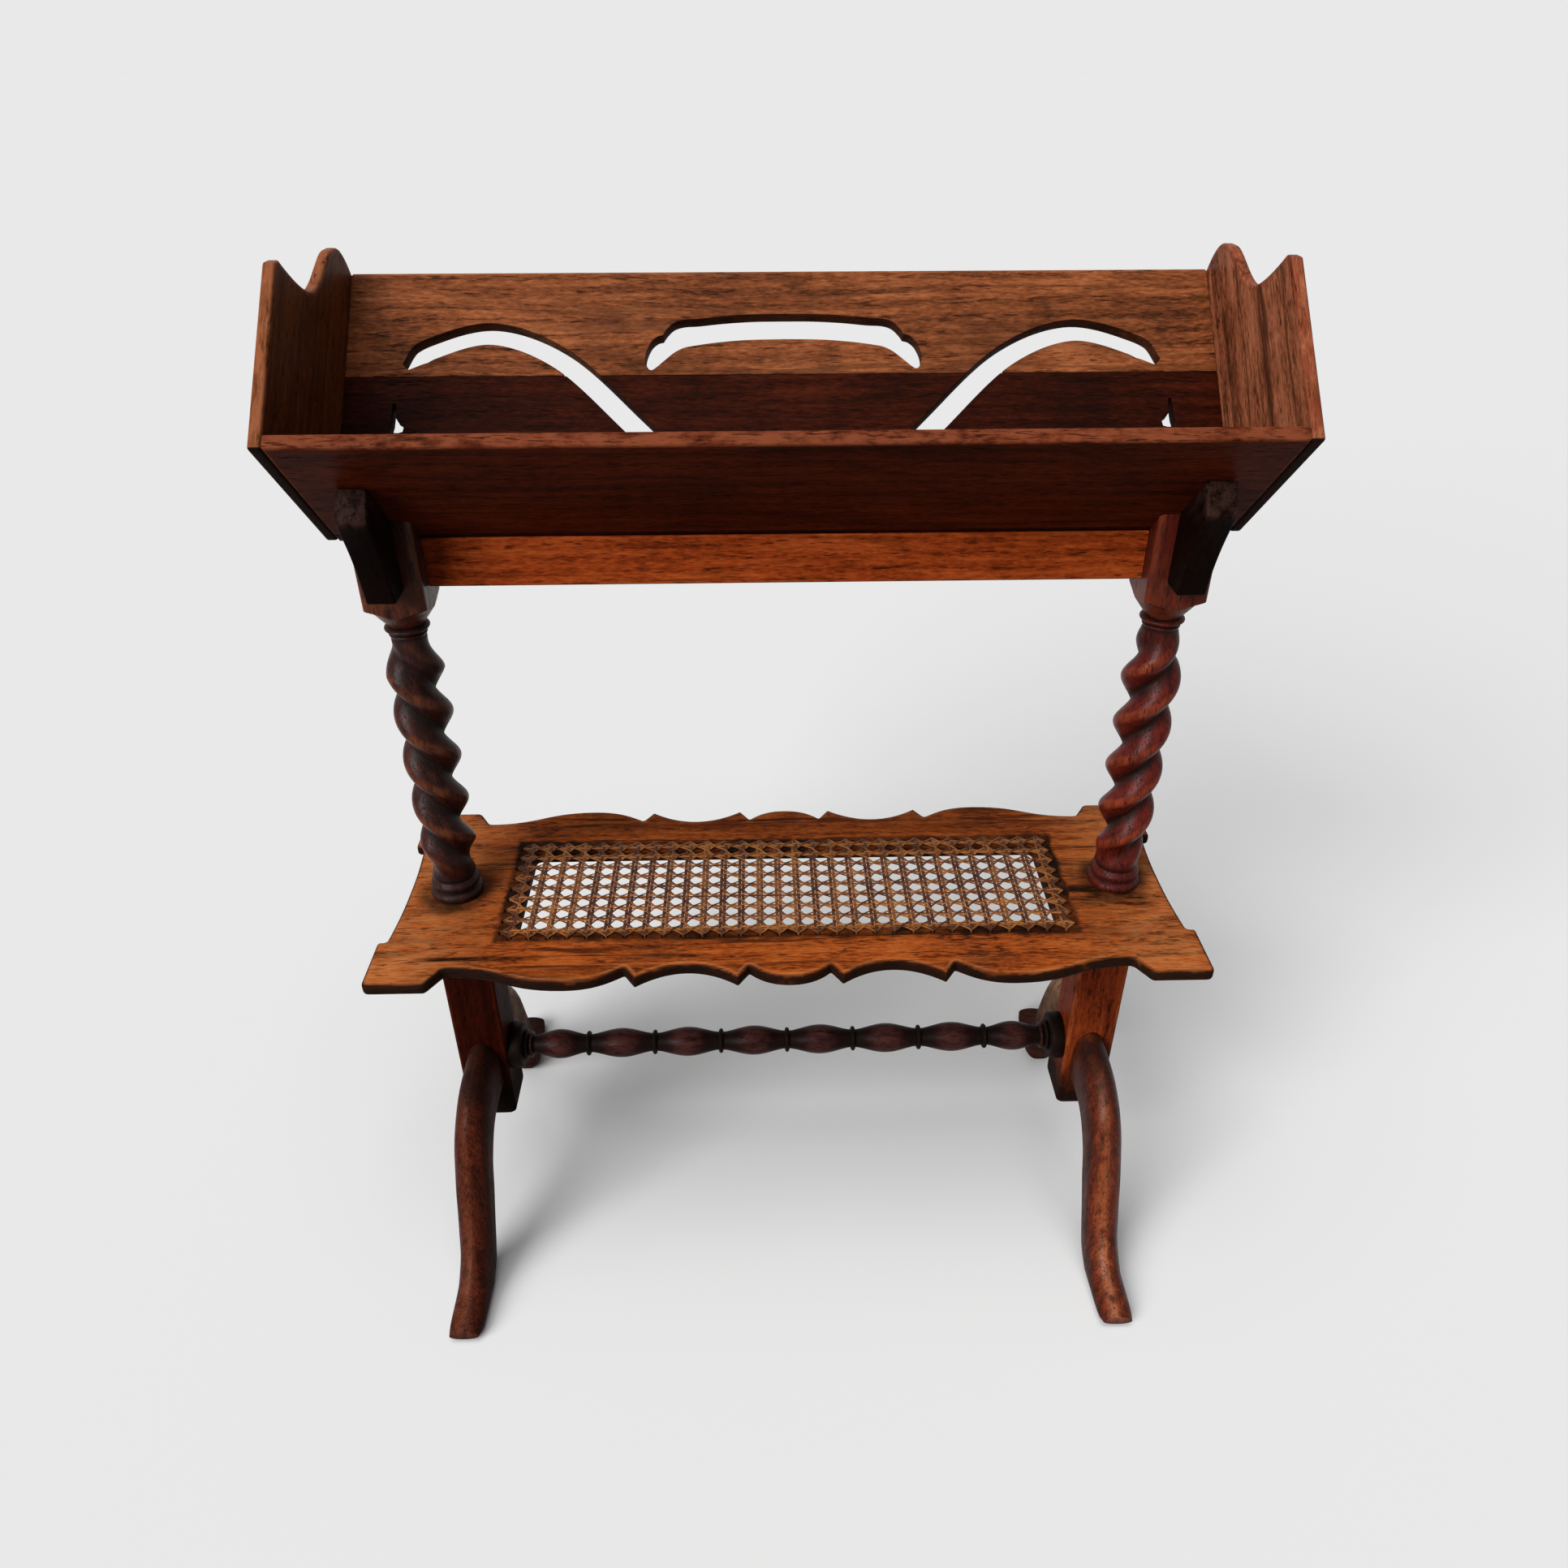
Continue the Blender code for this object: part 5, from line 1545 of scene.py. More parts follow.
    def section(self, crest: Point, under: Point, shrink: float) -> list[Spot]:
        """A rounded section between crest and underside: across, outwards and up.

        Args:
            crest: the section's upper point.
            under: its lower point.
            shrink: share of its full size.

        Returns:
            The section's points.
        """
        top, low = Vector(crest), Vector(under)
        length, half = (top - low).length, self.leg_width / 2 * shrink
        rise = (top - low).normalized()
        crest_deep, back_deep = min(self.crest_rounding[1], 0.55 * length), min(self.back_rounding[1], 0.4 * length)
        corners = ((1, length - crest_deep, self.crest_rounding[0], crest_deep),
                   (-1, length - crest_deep, self.crest_rounding[0], crest_deep),
                   (-1, back_deep, self.back_rounding[0], back_deep), (1, back_deep, self.back_rounding[0], back_deep))
        points = []
        for number, (way, inner, wide, deep) in enumerate(corners):
            wide = min(wide, half * 0.98)
            for step in range(self.corner_steps + 1):
                turn = pi / 2 * (number + step / self.corner_steps)
                spot = low + rise * (inner + deep * sin(turn))
                points.append((way * (half - wide) + wide * cos(turn), spot.x, spot.y))
        middle = sum((Vector((p[1], p[2])) for p in points), Vector((0, 0))) / len(points)
        return [(a, middle.x + (o - middle.x) * shrink, middle.y + (u - middle.y) * shrink) for a, o, u in points]

    def leg_shape(self, sign: int, way: int) -> Shape:
        """One leg, set against its post.

        Args:
            sign: -1 for a left leg, 1 for a right one.
            way: -1 for a front leg, 1 for a rear one.

        Returns:
            Its shape.
        """
        pairs = self.stations()
        shrinks = [1.0] * (len(pairs) - len(self.toe_shrinks)) + list(self.toe_shrinks)
        face = FRAME.post / 2 + FRAME.glue_line
        rings = []
        for (crest, under), shrink in zip(pairs, shrinks):
            ring = []
            for across, out, up in self.section(crest, under, shrink):
                x = sign * (FRAME.column_x + self.splay * out / self.reach) + across
                ring.append((x, way * (face + max(out, 0.0)), max(up, 0.0)))
            rings.append(ring)
        shape = ring_stack(rings)
        edge, hollow = mask_layers(shape)
        for index, vert in enumerate(shape.verts):
            out, (number, place) = abs(vert.co.y) - face, divmod(index, len(rings[0]))
            outward = (sign * vert.co.x - FRAME.column_x - self.splay * out / self.reach) / self.leg_width * 2
            if way < 0:
                # Worn colour along the crest, which is also a painted highlight on its lit side.
                crest = max(0.0, 1.0 - abs(place - self.crest_highlight_place) / self.crest_wear_and_highlight)
                vert[edge] = crest * min(1.0, 0.2 + number / len(rings))
                # Painted shade towards the root.
                dirt_and_shade = self.root_shade.at(vert.co.z)
            else:
                vert[edge] = self.inner_rub.at(outward) * self.rub_height.at(vert.co.z)
                # Darker towards the floor.
                dirt_and_shade = self.foot_darkening.at(vert.co.z)
            # Painted shade on the leg's sides, with the darkening at its root or its foot.
            vert[hollow] = max(dirt_and_shade, self.side_shade.at(abs(outward)))
        return shape

    def build(self) -> None:
        """Build the posts, the legs and the finish of the hidden dowels."""
        for side, sign in SIDES.items():
            self.add(f"square_post_{side}", self.post_shape(sign), POST_OAK[side], [f"lower_post_{side}"])
            for end, way in ENDS.items():
                name = f"leg_{end}_{side}"
                finish = LEG_OAK["rear" if way > 0 else f"front_{side}"]
                self.add(f"sabre_{name}", self.leg_shape(sign, way), finish, [name], 50.0)
        for name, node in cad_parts.items():
            if "_dowel_" in name:
                node.data.materials.clear()
                node.data.materials.append(FINISHES.material(DOWEL_OAK))
                LOG.info("%s: dressed in %s", name, DOWEL_OAK.name)


STRETCHER_OAK = OakFinish(
    "black_stretcher_oak", "oak_dark", deep=(0.003, 0.001, 0.0008), middle=(0.016, 0.0045, 0.0038),
    pale=(0.044, 0.0122, 0.0100), worn=(0.100, 0.032, 0.027), shift=(0.6, 0.02, 0.03), wear=0.5, patches=0.05,
    grime_and_shade=0.97, sheen=0.30, shine=0.04)


@dataclass
class Stretcher(SubAssembly):
    """The bobbin-turned stretcher between the posts."""

    height: float = 0.151
    rings: int = 7
    pitch: float = 0.056
    bobbin: float = 0.0122
    neck: float = 0.0075
    swell: float = 1.5
    ring_radius: float = 0.0104
    ring_width: float = 0.004
    small_bead: float = 0.0108
    bead: float = 0.0130
    bead_width: float = 0.008
    collar: float = 0.0195
    collar_width: float = 0.011
    collar_edge: float = 0.0026
    collar_bevel: float = 0.0006
    bobbin_wear: Rise = Rise(0.0098, 0.0022)
    # Darkens the necks with dirt and painted shade, and the rings and the collar all over.
    neck_dirt_and_shade: Rise = Rise(0.0106, -0.0020, 1.2)
    sides: int = 40

    def half_profile(self) -> list[Point]:
        """Radius and distance from the middle, from the middle out.

        Returns:
            The profile of one half.
        """
        shoulder = FRAME.column_x - FRAME.post / 2 - FRAME.glue_line
        collar = shoulder - self.collar_width
        points, half, outermost = [], self.ring_width / 2, self.rings // 2
        for index in range(outermost + 1):
            middle = index * self.pitch
            for step in range(0 if index else 4, 9):
                turn = pi * step / 8
                points.append((self.neck + (self.ring_radius - self.neck) * sin(turn),
                               middle - half * cos(turn)))
            start = middle + half
            end = middle + self.pitch - half if index < outermost else collar - self.bead_width
            for step in range(1, 20):
                bulge = sin(pi * step / 20) ** self.swell
                points.append((self.neck + (self.bobbin - self.neck) * bulge, start + (end - start) * step / 20))
        for start, width, top in ((-1.0, 0.45, self.small_bead), (-0.5, 0.5, self.bead)):
            for step in range(9):
                turn = pi * step / 8
                points.append((self.neck + (top - self.neck) * sin(turn) ** 0.8,
                               collar + self.bead_width * (start + width * (1 - cos(turn)) / 2)))
        for step in range(5):
            turn = pi / 2 * step / 4
            points.append((self.collar - self.collar_edge * (1 - sin(turn)),
                           collar + self.collar_edge * (1 - cos(turn))))
        return points + [(self.collar, shoulder - self.collar_bevel), (self.collar - self.collar_bevel, shoulder)]

    def build(self) -> None:
        """Turn the stretcher."""
        half = self.half_profile()
        profile = [(r, -d) for r, d in reversed(half[1:])] + half
        turns = full_turn(self.sides)
        shape = ring_stack([[(d, r * cos(t), self.height + r * sin(t)) for t in turns] for r, d in profile])
        edge, hollow = mask_layers(shape)
        for vert in shape.verts:
            radius = hypot(vert.co.y, vert.co.z - self.height)
            collar = abs(vert.co.x) > FRAME.column_x - FRAME.post / 2 - self.collar_width - 0.6 * self.bead_width
            ring = abs(vert.co.x - self.pitch * round(vert.co.x / self.pitch)) < self.ring_width
            vert[edge] = 0.0 if collar or ring else self.bobbin_wear.at(radius)
            # Necks: dirt and painted shade; rings and collar: dark all over.
            vert[hollow] = self.neck_dirt_and_shade.most if collar or ring else self.neck_dirt_and_shade.at(radius)
        self.add("bobbin_stretcher", shape, STRETCHER_OAK, ["stretcher"], 50.0)


# Darker than the other boards: the colour also paints the shade on the down-facing front board.
FRONT_OAK = OakFinish(
    "shaded_red_front_oak", "oak_red", deep=(0.017, 0.0036, 0.0008), middle=(0.075, 0.0107, 0.003),
    pale=(0.125, 0.020, 0.006), worn=(0.210, 0.054, 0.022), shift=(0.5, 0.05, 0.31), wear=0.85, patches=0.0,
    shine=0.02)
BACK_UPPER_OAK = OakFinish(
    "brown_back_oak", "oak_red", deep=(0.036, 0.010, 0.003), middle=(0.194, 0.053, 0.0165),
    pale=(0.340, 0.112, 0.039), worn=(0.320, 0.112, 0.042), shift=(0.2, 0.12, 0.05), wear=0.5, patches=0.05, stain=0.5)
BACK_LOWER_OAK = OakFinish(
    "dark_back_oak", "oak_dark", deep=(0.006, 0.0012, 0.0004), middle=(0.025, 0.0036, 0.001),
    pale=(0.056, 0.009, 0.0026), worn=(0.070, 0.018, 0.007), shift=(0.7, 0.16, 0.11), wear=0.3, patches=0.05,
    shine=0.02)
# Lit and shaded copies: the left end is darkened and the right end lightened to paint the light from the left.
END_OAK = {
    "left": OakFinish(
        "shaded_red_end_oak_left", "oak_red", deep=(0.030, 0.007, 0.002), middle=(0.135, 0.036, 0.009),
        pale=(0.215, 0.064, 0.017), worn=(0.270, 0.087, 0.036), grain=Grain.UP_BACKWARD, shift=(0.33, 0.06, 0.22),
        wear=0.85, patches=0.03, grime_and_shade=0.97, stain=0.5),
    "right": OakFinish(
        "lit_red_end_oak_right", "oak_red", deep=(0.026, 0.006, 0.0024), middle=(0.270, 0.080, 0.035),
        pale=(0.430, 0.152, 0.074), worn=(0.160, 0.028, 0.0105), grain=Grain.UP_BACKWARD, shift=(0.13, 0.02, 0.17),
        streaks=0.8, wear=0.7, patches=0.0, grime_and_shade=0.97, stain=0.75),
}
RAIL_OAK = OakFinish(
    "tawny_rail_oak", "oak_shelf", deep=(0.080, 0.011, 0.002), middle=(0.325, 0.048, 0.0078),
    pale=(0.480, 0.098, 0.019), worn=(0.480, 0.130, 0.034), shift=(0.9, 0.09, 0.08), streaks=0.4, wear=0.4,
    patches=0.03, stain=0.35)


@dataclass
class Trough(SubAssembly):
    """The V of boards with its fretted back, its ends, and the rail below its ridge."""

    front_width: float = 0.120
    back_width: float = 0.187
    joint: float = 0.110
    front_ear_rise: float = 0.1140
    front_ear_top: float = 0.007
    notch_out: float = 0.0475
    notch_height: float = 0.1415
    notch_ease: float = 0.017
    back_ear_out: float = 0.096
    back_ear_height: float = 0.157
    back_ear_width: float = 0.008
    ease: float = 0.012
    arch_top: Sequence[Point] = (
        (0.0, 0.1545), (0.020, 0.1543), (0.040, 0.1530), (0.056, 0.1512), (0.066, 0.1505), (0.0725, 0.1482),
        (0.077, 0.1434), (0.0795, 0.1392))
    arch_lobe: Sequence[Point] = (
        (0.0795, 0.1392), (0.083, 0.1382), (0.0868, 0.1347), (0.0896, 0.1288), (0.0908, 0.1232), (0.0903, 0.1178),
        (0.0886, 0.1146))
    arch_low: Sequence[Point] = (
        (0.0886, 0.1146), (0.0866, 0.1141), (0.0835, 0.1163), (0.078, 0.1214), (0.072, 0.1267), (0.066, 0.1300),
        (0.060, 0.1314), (0.045, 0.1337), (0.025, 0.1355), (0.0, 0.1360))
    wave: Sequence[Point] = (
        (0.066, 0.040), (0.099, 0.0765), (0.145, 0.122), (0.190, 0.141), (0.230, 0.131), (0.2475, 0.1175))
    wave_slot: float = 0.0155
    taper: float = 0.13
    spade: Sequence[Point] = (
        (0.2542, 0.0910), (0.2522, 0.0910), (0.2516, 0.0805), (0.2488, 0.0787), (0.2464, 0.0747), (0.2470, 0.0712),
        (0.2500, 0.0703), (0.2545, 0.0707), (0.2558, 0.0740), (0.2548, 0.0787))
    wave_bluntness: float = 0.35
    rail_half: float = 0.006
    rail_drop: float = 0.0295
    rail_worn: float = 0.0016
    fret_band: float = 0.001
    top_band: float = 0.004
    ridge_band: float = 0.0015
    # Painted shade on the end boards' lower edges.
    lower_edge_shade: float = 1.8

    def slot(self, centre: Sequence[Point], width: float, bluntness: float) -> list[Point]:
        """Outline of a slot along a centre line, narrower at both ends.

        Args:
            centre: the centre line.
            width: the slot's full width.
            bluntness: width of its ends, as a share.

        Returns:
            The outline.
        """
        left, right, last = [], [], len(centre) - 1
        for index, point in enumerate(centre):
            along = (Vector(centre[min(index + 1, last)]) - Vector(centre[max(index - 1, 0)])).normalized()
            share = min(index, last - index) / last
            spread = min(1.0, bluntness + (1 - bluntness) * share / self.taper)
            offset = Vector((-along.y, along.x)) * width / 2 * spread
            left.append(tuple(Vector(point) + offset))
            right.append(tuple(Vector(point) - offset))
        return left + right[::-1]

    def cut_wave(self, level: float, keep_low: bool) -> list[Point]:
        """The part of the right wave on one side of the planks' joint, from its outer end inwards.

        Args:
            level: where the plank ends.
            keep_low: whether the part below that level is kept.

        Returns:
            The points of that part.
        """
        wave = self.slot(smooth_path(self.wave, 12), self.wave_slot, self.wave_bluntness)
        inside = [(u < level) == keep_low for _, u in wave]
        start = next(i for i in range(len(wave)) if inside[i] and not inside[i - 1])
        chain: list[Point] = []
        for step in range(len(wave)):
            index = (start + step) % len(wave)
            if not inside[index]:
                break
            chain.append(wave[index])
        for end, outer in ((0, wave[start - 1]), (-1, wave[(start + len(chain)) % len(wave)])):
            near = chain[end]
            share = (level - near[1]) / (outer[1] - near[1])
            crossing = (near[0] + (outer[0] - near[0]) * share, level)
            chain.insert(0 if end == 0 else len(chain), crossing)
        return chain if chain[0][0] > chain[-1][0] else chain[::-1]

    def planks(self) -> dict[str, Shape]:
        """The two planks of the fretted back.

        Returns:
            The shapes of the lower and the upper plank, by name.
        """
        half, joint, gap = FRAME.board_half, self.joint, FRAME.glue_line
        low = self.cut_wave(joint, True)
        lower = [(-half, 0.0), (half, 0.0), (half, joint), *low, *[(-x, u) for x, u in reversed(low)], (-half, joint)]
        high = self.cut_wave(joint + gap, False)[::-1]
        upper = [(half, joint + gap), (half, self.back_width), (-half, self.back_width), (-half, joint + gap),
                 *[(-x, u) for x, u in reversed(high)], *high]
        right = smooth_path(self.arch_top, 4) + smooth_path(self.arch_lobe, 4)[1:] + smooth_path(self.arch_low, 4)[1:]
        arch = right + [(-x, u) for x, u in reversed(right[1:-1])]
        place = FRAME.trough

        def top_wear(x: float, u: float) -> float:
            """Wear of the upper plank: on its top edge alone."""
            return float(u > self.back_width - self.fret_band)

        def rounding(x: float, u: float) -> float:
            """Rounding of the upper plank: more on its top edge."""
            return 0.0018 if top_wear(x, u) else 0.0004

        def cut(x: float, u: float) -> float:
            """Dirt and painted shade on the sawn edges, which lie within the back's outline."""
            inside = self.fret_band < u < self.back_width - self.fret_band
            return float(inside and abs(x) < half - 2 * self.fret_band)

        # The walls of the spades and of the arch are darkened with dirt and painted shade.
        spades = [Rim([(s * x, u) for x, u in self.spade], rounding=0.0003, margin=0.0006, corner=0.0008, wear=0.0,
                      hollow=1.0) for s in (-1, 1)]
        lower_rims = [Rim(lower, rounding=0.0004, margin=0.0009, corner=0.0010, wear=0.0, hollow=cut), *spades]
        upper_rims = [Rim(upper, rounding=rounding, margin=0.0009, corner=0.0010, wear=top_wear, hollow=cut),
                      Rim(arch, rounding=0.0004, margin=0.0009, corner=0.0008, wear=0.0, hollow=1.0)]
        return {"lower": rounded_plate(lower_rims, 0.0, FRAME.board, place),
                "upper": rounded_plate(upper_rims, 0.0, FRAME.board, place)}

    def end_outline(self) -> list[Point]:
        """Side view of an end board in (u, v): two ears with a notch between them.

        Returns:
            The outline.
        """
        def spot(out: float, height: float) -> Point:
            """A point so far behind the ridge and so high above it."""
            return (height + out) / ROOT_TWO, (height - out) / ROOT_TWO

        front_ear = (self.front_ear_rise, self.front_width)
        flat_top = self.front_ear_top / ROOT_TWO
        inner = (front_ear[0] + flat_top, front_ear[1] - flat_top)
        notch = spot(self.notch_out, self.notch_height)
        ear_out = self.back_ear_out + self.back_ear_width
        ear, ear_end = spot(self.back_ear_out, self.back_ear_height), spot(ear_out, self.back_ear_height)
        back_top = (self.back_width, FRAME.board)
        outline = [(0.0, 0.0), (0.0, self.front_width), front_ear, inner]
        outline += bezier(inner, inner, spot(self.notch_out - self.notch_ease, self.notch_height), notch)
        outline += bezier(notch, spot(self.notch_out + self.notch_ease, self.notch_height),
                          spot(self.back_ear_out - self.ease, self.back_ear_height), ear)
        outline.append(ear_end)
        outline += bezier(ear_end, spot(ear_out + self.ease, self.back_ear_height), back_top, back_top)
        outline.append((self.back_width, 0.0))
        return outline

    def front_board(self) -> Shape:
        """The front board, its upper edge rounded by use.

        Returns:
            Its shape.
        """
        half, low = FRAME.board_half, FRAME.board + FRAME.glue_line

        def wear(x: float, v: float) -> float:
            """Wear of the edges: on the upper one alone."""
            return float(v > self.front_width - self.top_band)

        def rounding(x: float, v: float) -> float:
            """Rounding of the edges: more on the upper one."""
            return 0.0016 if wear(x, v) else 0.0006

        outline = [(-half, low), (half, low), (half, self.front_width), (-half, self.front_width)]
        rim = Rim(outline, rounding=rounding, margin=0.0008, corner=0.0006, wear=wear)
        return rounded_plate([rim], 0.0, FRAME.board, lambda a, b, c: FRAME.trough(a, c, b), steps=5)

    def rail(self) -> Shape:
        """The rail, grooved for the ridge of the trough.

        Returns:
            Its shape.
        """
        half, seat = self.rail_half, -FRAME.glue_line * ROOT_TWO
        reach = FRAME.column_x - FRAME.block / 2 - FRAME.glue_line
        outline = [(-half, -self.rail_drop), (half, -self.rail_drop), (half, half + seat), (0.0, seat),
                   (-half, half + seat)]
        rim = Rim(outline, rounding=0.0004, margin=0.0012, corner=0.0014, wear=0.0)
        shape = rounded_plate([rim], -reach, reach, lambda a, b, c: (c, a, FRAME.ridge + b))
        edge, _ = mask_layers(shape)
        for vert in shape.verts:
            low = vert.co.z < FRAME.ridge - self.rail_drop + self.rail_worn
            vert[edge] = float(low and abs(vert.co.y) > half - self.rail_worn)
        return shape

    def build(self) -> None:
        """Build the boards, the ends and the rail."""
        self.add("front_plank", self.front_board(), FRONT_OAK, ["trough_front_board"])
        for name, shape in self.planks().items():
            finish = BACK_LOWER_OAK if name == "lower" else BACK_UPPER_OAK
            self.add(f"fretted_plank_{name}", shape, finish, [f"trough_back_{name}"])
        for side, sign in SIDES.items():
            low = sign * FRAME.end_inner_x
            span = sorted((low, low + sign * FRAME.end_board))
            # The lower edges, which face down, are darkened as painted shade.
            rim = Rim(self.end_outline(), rounding=0.0018, margin=0.0022, corner=0.0022, wear=1.0,
                      hollow=lambda u, v: self.lower_edge_shade * float(min(u, v) < self.ridge_band))
            shape = rounded_plate([rim], *span, lambda a, b, c: FRAME.trough(c, a, b), steps=4)
            self.add(f"end_plank_{side}", shape, END_OAK[side], [f"trough_end_{side}"])
        self.add("ridge_rail", self.rail(), RAIL_OAK, ["trough_rail"])


# A near-black finish that also paints the arms' shade.
ARM_OAK = {
    end: OakFinish(
        f"shaded_dark_arm_oak_{end}", "oak_dark", deep=(0.0015, 0.0005, 0.0004), middle=(0.004, 0.0012, 0.0008),
        pale=(0.009, 0.0034, 0.0024), worn=(0.046, 0.021, 0.015), grain=grain, shift=shift, wear=0.8, patches=0.02,
        shine=0.015)
    for end, grain, shift in (("front", Grain.UP_FRONTWARD, (0.2, 0.08, 0.05)),
                              ("rear", Grain.UP_BACKWARD, (0.3, 0.04, 0.09)))
}


@dataclass
class Arms(SubAssembly):
    """The four arms that carry the boards, and the screws and pins of the trough."""

    width: float = 0.0185
    drop: float = 0.026
    foot: float = 0.021
    run: float = 0.076
    tip: float = 0.022
    slant: float = radians(33)
    hollow: float = 0.003
    # Painted shade towards the arm's foot, which meets the block's shade.
    root_shade: Rise = Rise(0.012, -0.05)
    # A worn tip, paler, which also paints the light it catches.
    tip_wear_and_light: Rise = Rise(0.066, 0.005)
    screw_run: float = 0.052
    screw_length: float = 0.022
    screw: Point = (0.0018, 0.0036)
    screw_head: float = 0.0022
    screw_slot: float = 0.0006
    slot_depth: float = 0.0008
    pin_length: float = 0.026
    pin: Point = (0.0011, 0.0019)
    pin_head: float = 0.0015
    front_pins: Sequence[float] = (0.040, 0.104)
    back_pins: Sequence[float] = (0.034, 0.094, 0.150)
    iron: IronFinish = IronFinish()

    def outline(self) -> list[Point]:
        """Side view of an arm: outwards from the column's axis, and up from the ridge.

        Returns:
            The outline.
        """
        root, seat, tip = FRAME.block / 2 + FRAME.glue_line, -FRAME.glue_line * ROOT_TWO, self.run / ROOT_TWO
        low = (tip + self.tip * sin(self.slant), tip + seat - self.tip * cos(self.slant))
        points = [(root, -self.drop), (root, root + seat), (tip, tip + seat), low]
        return points + arc(low, (root + self.foot, -self.drop), -self.hollow)

    def fastener(self, sizes: Point, head: float, length: float, slot: float) -> bpy.types.Object:
        """A pattern for the fasteners: it points along +Z and its head starts at 0.

        Args:
            sizes: radius of the shank and of the head.
            head: height of the head.
            length: whole length.
            slot: half the width of the slot in the head, or 0 for none.

        Returns:
            An object that is only used as a pattern.
        """
        shank, wide = sizes
        profile = [(wide * 0.4, 0.0), (wide * 0.82, 0.00006), (wide * 0.97, 0.0003), (wide, 0.0007),
                   (shank, head), (shank, length - 2 * shank), (shank * 0.3, length)]
        turns = full_turn(20)
        shape = ring_stack([[(r * cos(t), r * sin(t), h) for t in turns] for r, h in profile])
        if slot:
            for vert in shape.verts:
                if vert.co.z < 0.0001 and abs(vert.co.y) < slot:
                    vert.co.z += self.slot_depth
        mesh = bpy.data.meshes.new("fastener_pattern")
        shape.to_mesh(mesh)
        shape.free()
        return place_object("fastener_pattern", mesh)

    @staticmethod
    def fastener_nodes() -> NodeGroup:
        """A tree that sets a pattern on each point of a guide, along the point's own direction.

        Returns:
            The tree.
        """
        group = NodeGroup(
            "set_fasteners", "GeometryNodeTree",
            {"Geometry": ("Geometry", None), "Pattern": ("Object", None), "Scale": ("Float", 1.0),
             "Material": ("Material", None)},
            {"Geometry": "Geometry"})
        g, given = group.graph, group.given
        pattern = g.add("GeometryNodeObjectInfo", {"Object": given["Pattern"]}).outputs["Geometry"]
        inward = g.out("GeometryNodeInputNamedAttribute", {"Name": "inward"}, data_type="FLOAT_VECTOR")
        turn = g.out("FunctionNodeAlignRotationToVector", {"Vector": inward}, axis="Z")
        size = g.out("ShaderNodeCombineXYZ", {n: given["Scale"] for n in range(3)})
        made = g.out("GeometryNodeInstanceOnPoints", {"Points": given["Geometry"], "Instance": pattern,
                                                      "Rotation": turn, "Scale": size})
        made = g.out("GeometryNodeRealizeInstances", {0: made})
        made = g.out("GeometryNodeSetMaterial", {"Geometry": made, "Material": given["Material"]})
        group.put("Geometry", made)
        return group

    def set_fasteners(self, name: str, spots: Sequence[tuple[Spot, Spot]], pattern: bpy.types.Object,
                      tree: NodeGroup, nodes: Sequence[str]) -> None:
        """Set one kind of fastener at its places, as one piece.

        Args:
            name: the piece's name.
            spots: place and direction of each fastener.
            pattern: the fastener's shape.
            tree: the tree that repeats it.
            nodes: the CAD nodes that the piece stands for.
        """
        guide = bpy.data.meshes.new(f"{name}_places")
        guide.from_pydata([place for place, _ in spots], [], [])
        ways = guide.attributes.new("inward", "FLOAT_VECTOR", "POINT")
        ways.data.foreach_set("vector", [number for _, way in spots for number in way])
        made = through_nodes(name, guide, tree, {"Pattern": pattern, "Scale": 1.0,
                                                 "Material": FINISHES.material(self.iron)})
        bpy.data.objects.remove(pattern, do_unlink=True)
        self.add(name, made, self.iron, nodes)

    def build(self) -> None:
        """Build the arms and set the screws and pins."""
        half, tree = self.width / 2, self.fastener_nodes()
        screws, pins, inward = [], [], 1 / ROOT_TWO
        for side, sign in SIDES.items():
            x = sign * FRAME.column_x
            for end, way in ENDS.items():
                def place(a: float, b: float, c: float, way: int = way) -> Spot:
                    """Place for an arm that reaches out to the front or to the rear."""
                    return c, way * a, FRAME.ridge + b

                rim = Rim(self.outline(), rounding=0.0016, margin=0.0022, corner=0.0028)
                shape = rounded_plate([rim], x - half, x + half, place)
                edge, hollow = mask_layers(shape)
                for vert in shape.verts:
                    rise = vert.co.z - FRAME.ridge
                    # Painted shade towards the foot, and a worn tip that also paints its light.
                    vert[hollow] = self.root_shade.at(rise)
                    vert[edge] = self.tip_wear_and_light.at((abs(vert.co.y) + rise) / ROOT_TWO)
                self.add(f"bracket_arm_{end}_{side}", shape, ARM_OAK[end], [f"arm_{end}_{side}"])
                spot = (x, FRAME.board, self.screw_run) if way < 0 else (x, self.screw_run, FRAME.board)
                screws.append((FRAME.trough(*spot), (0.0, way * inward, -inward)))
            out = sign * (FRAME.end_inner_x + FRAME.end_board)
            middle = FRAME.board / 2
            pins += [(FRAME.trough(out, middle, run), (-sign, 0.0, 0.0)) for run in self.front_pins]
            pins += [(FRAME.trough(out, run, middle), (-sign, 0.0, 0.0)) for run in self.back_pins]
        pattern = self.fastener(self.screw, self.screw_head, self.screw_length, self.screw_slot)
        self.set_fasteners("arm_screws", screws, pattern, tree,
                           [f"arm_screw_{end}_{side}" for end in ENDS for side in SIDES])
        pattern = self.fastener(self.pin, self.pin_head, self.pin_length, 0.0)
        count = len(self.front_pins) + len(self.back_pins)
        self.set_fasteners("end_pins", pins, pattern, tree,
                           [f"end_pin_{side}_{n}" for side in SIDES for n in range(1, count + 1)])


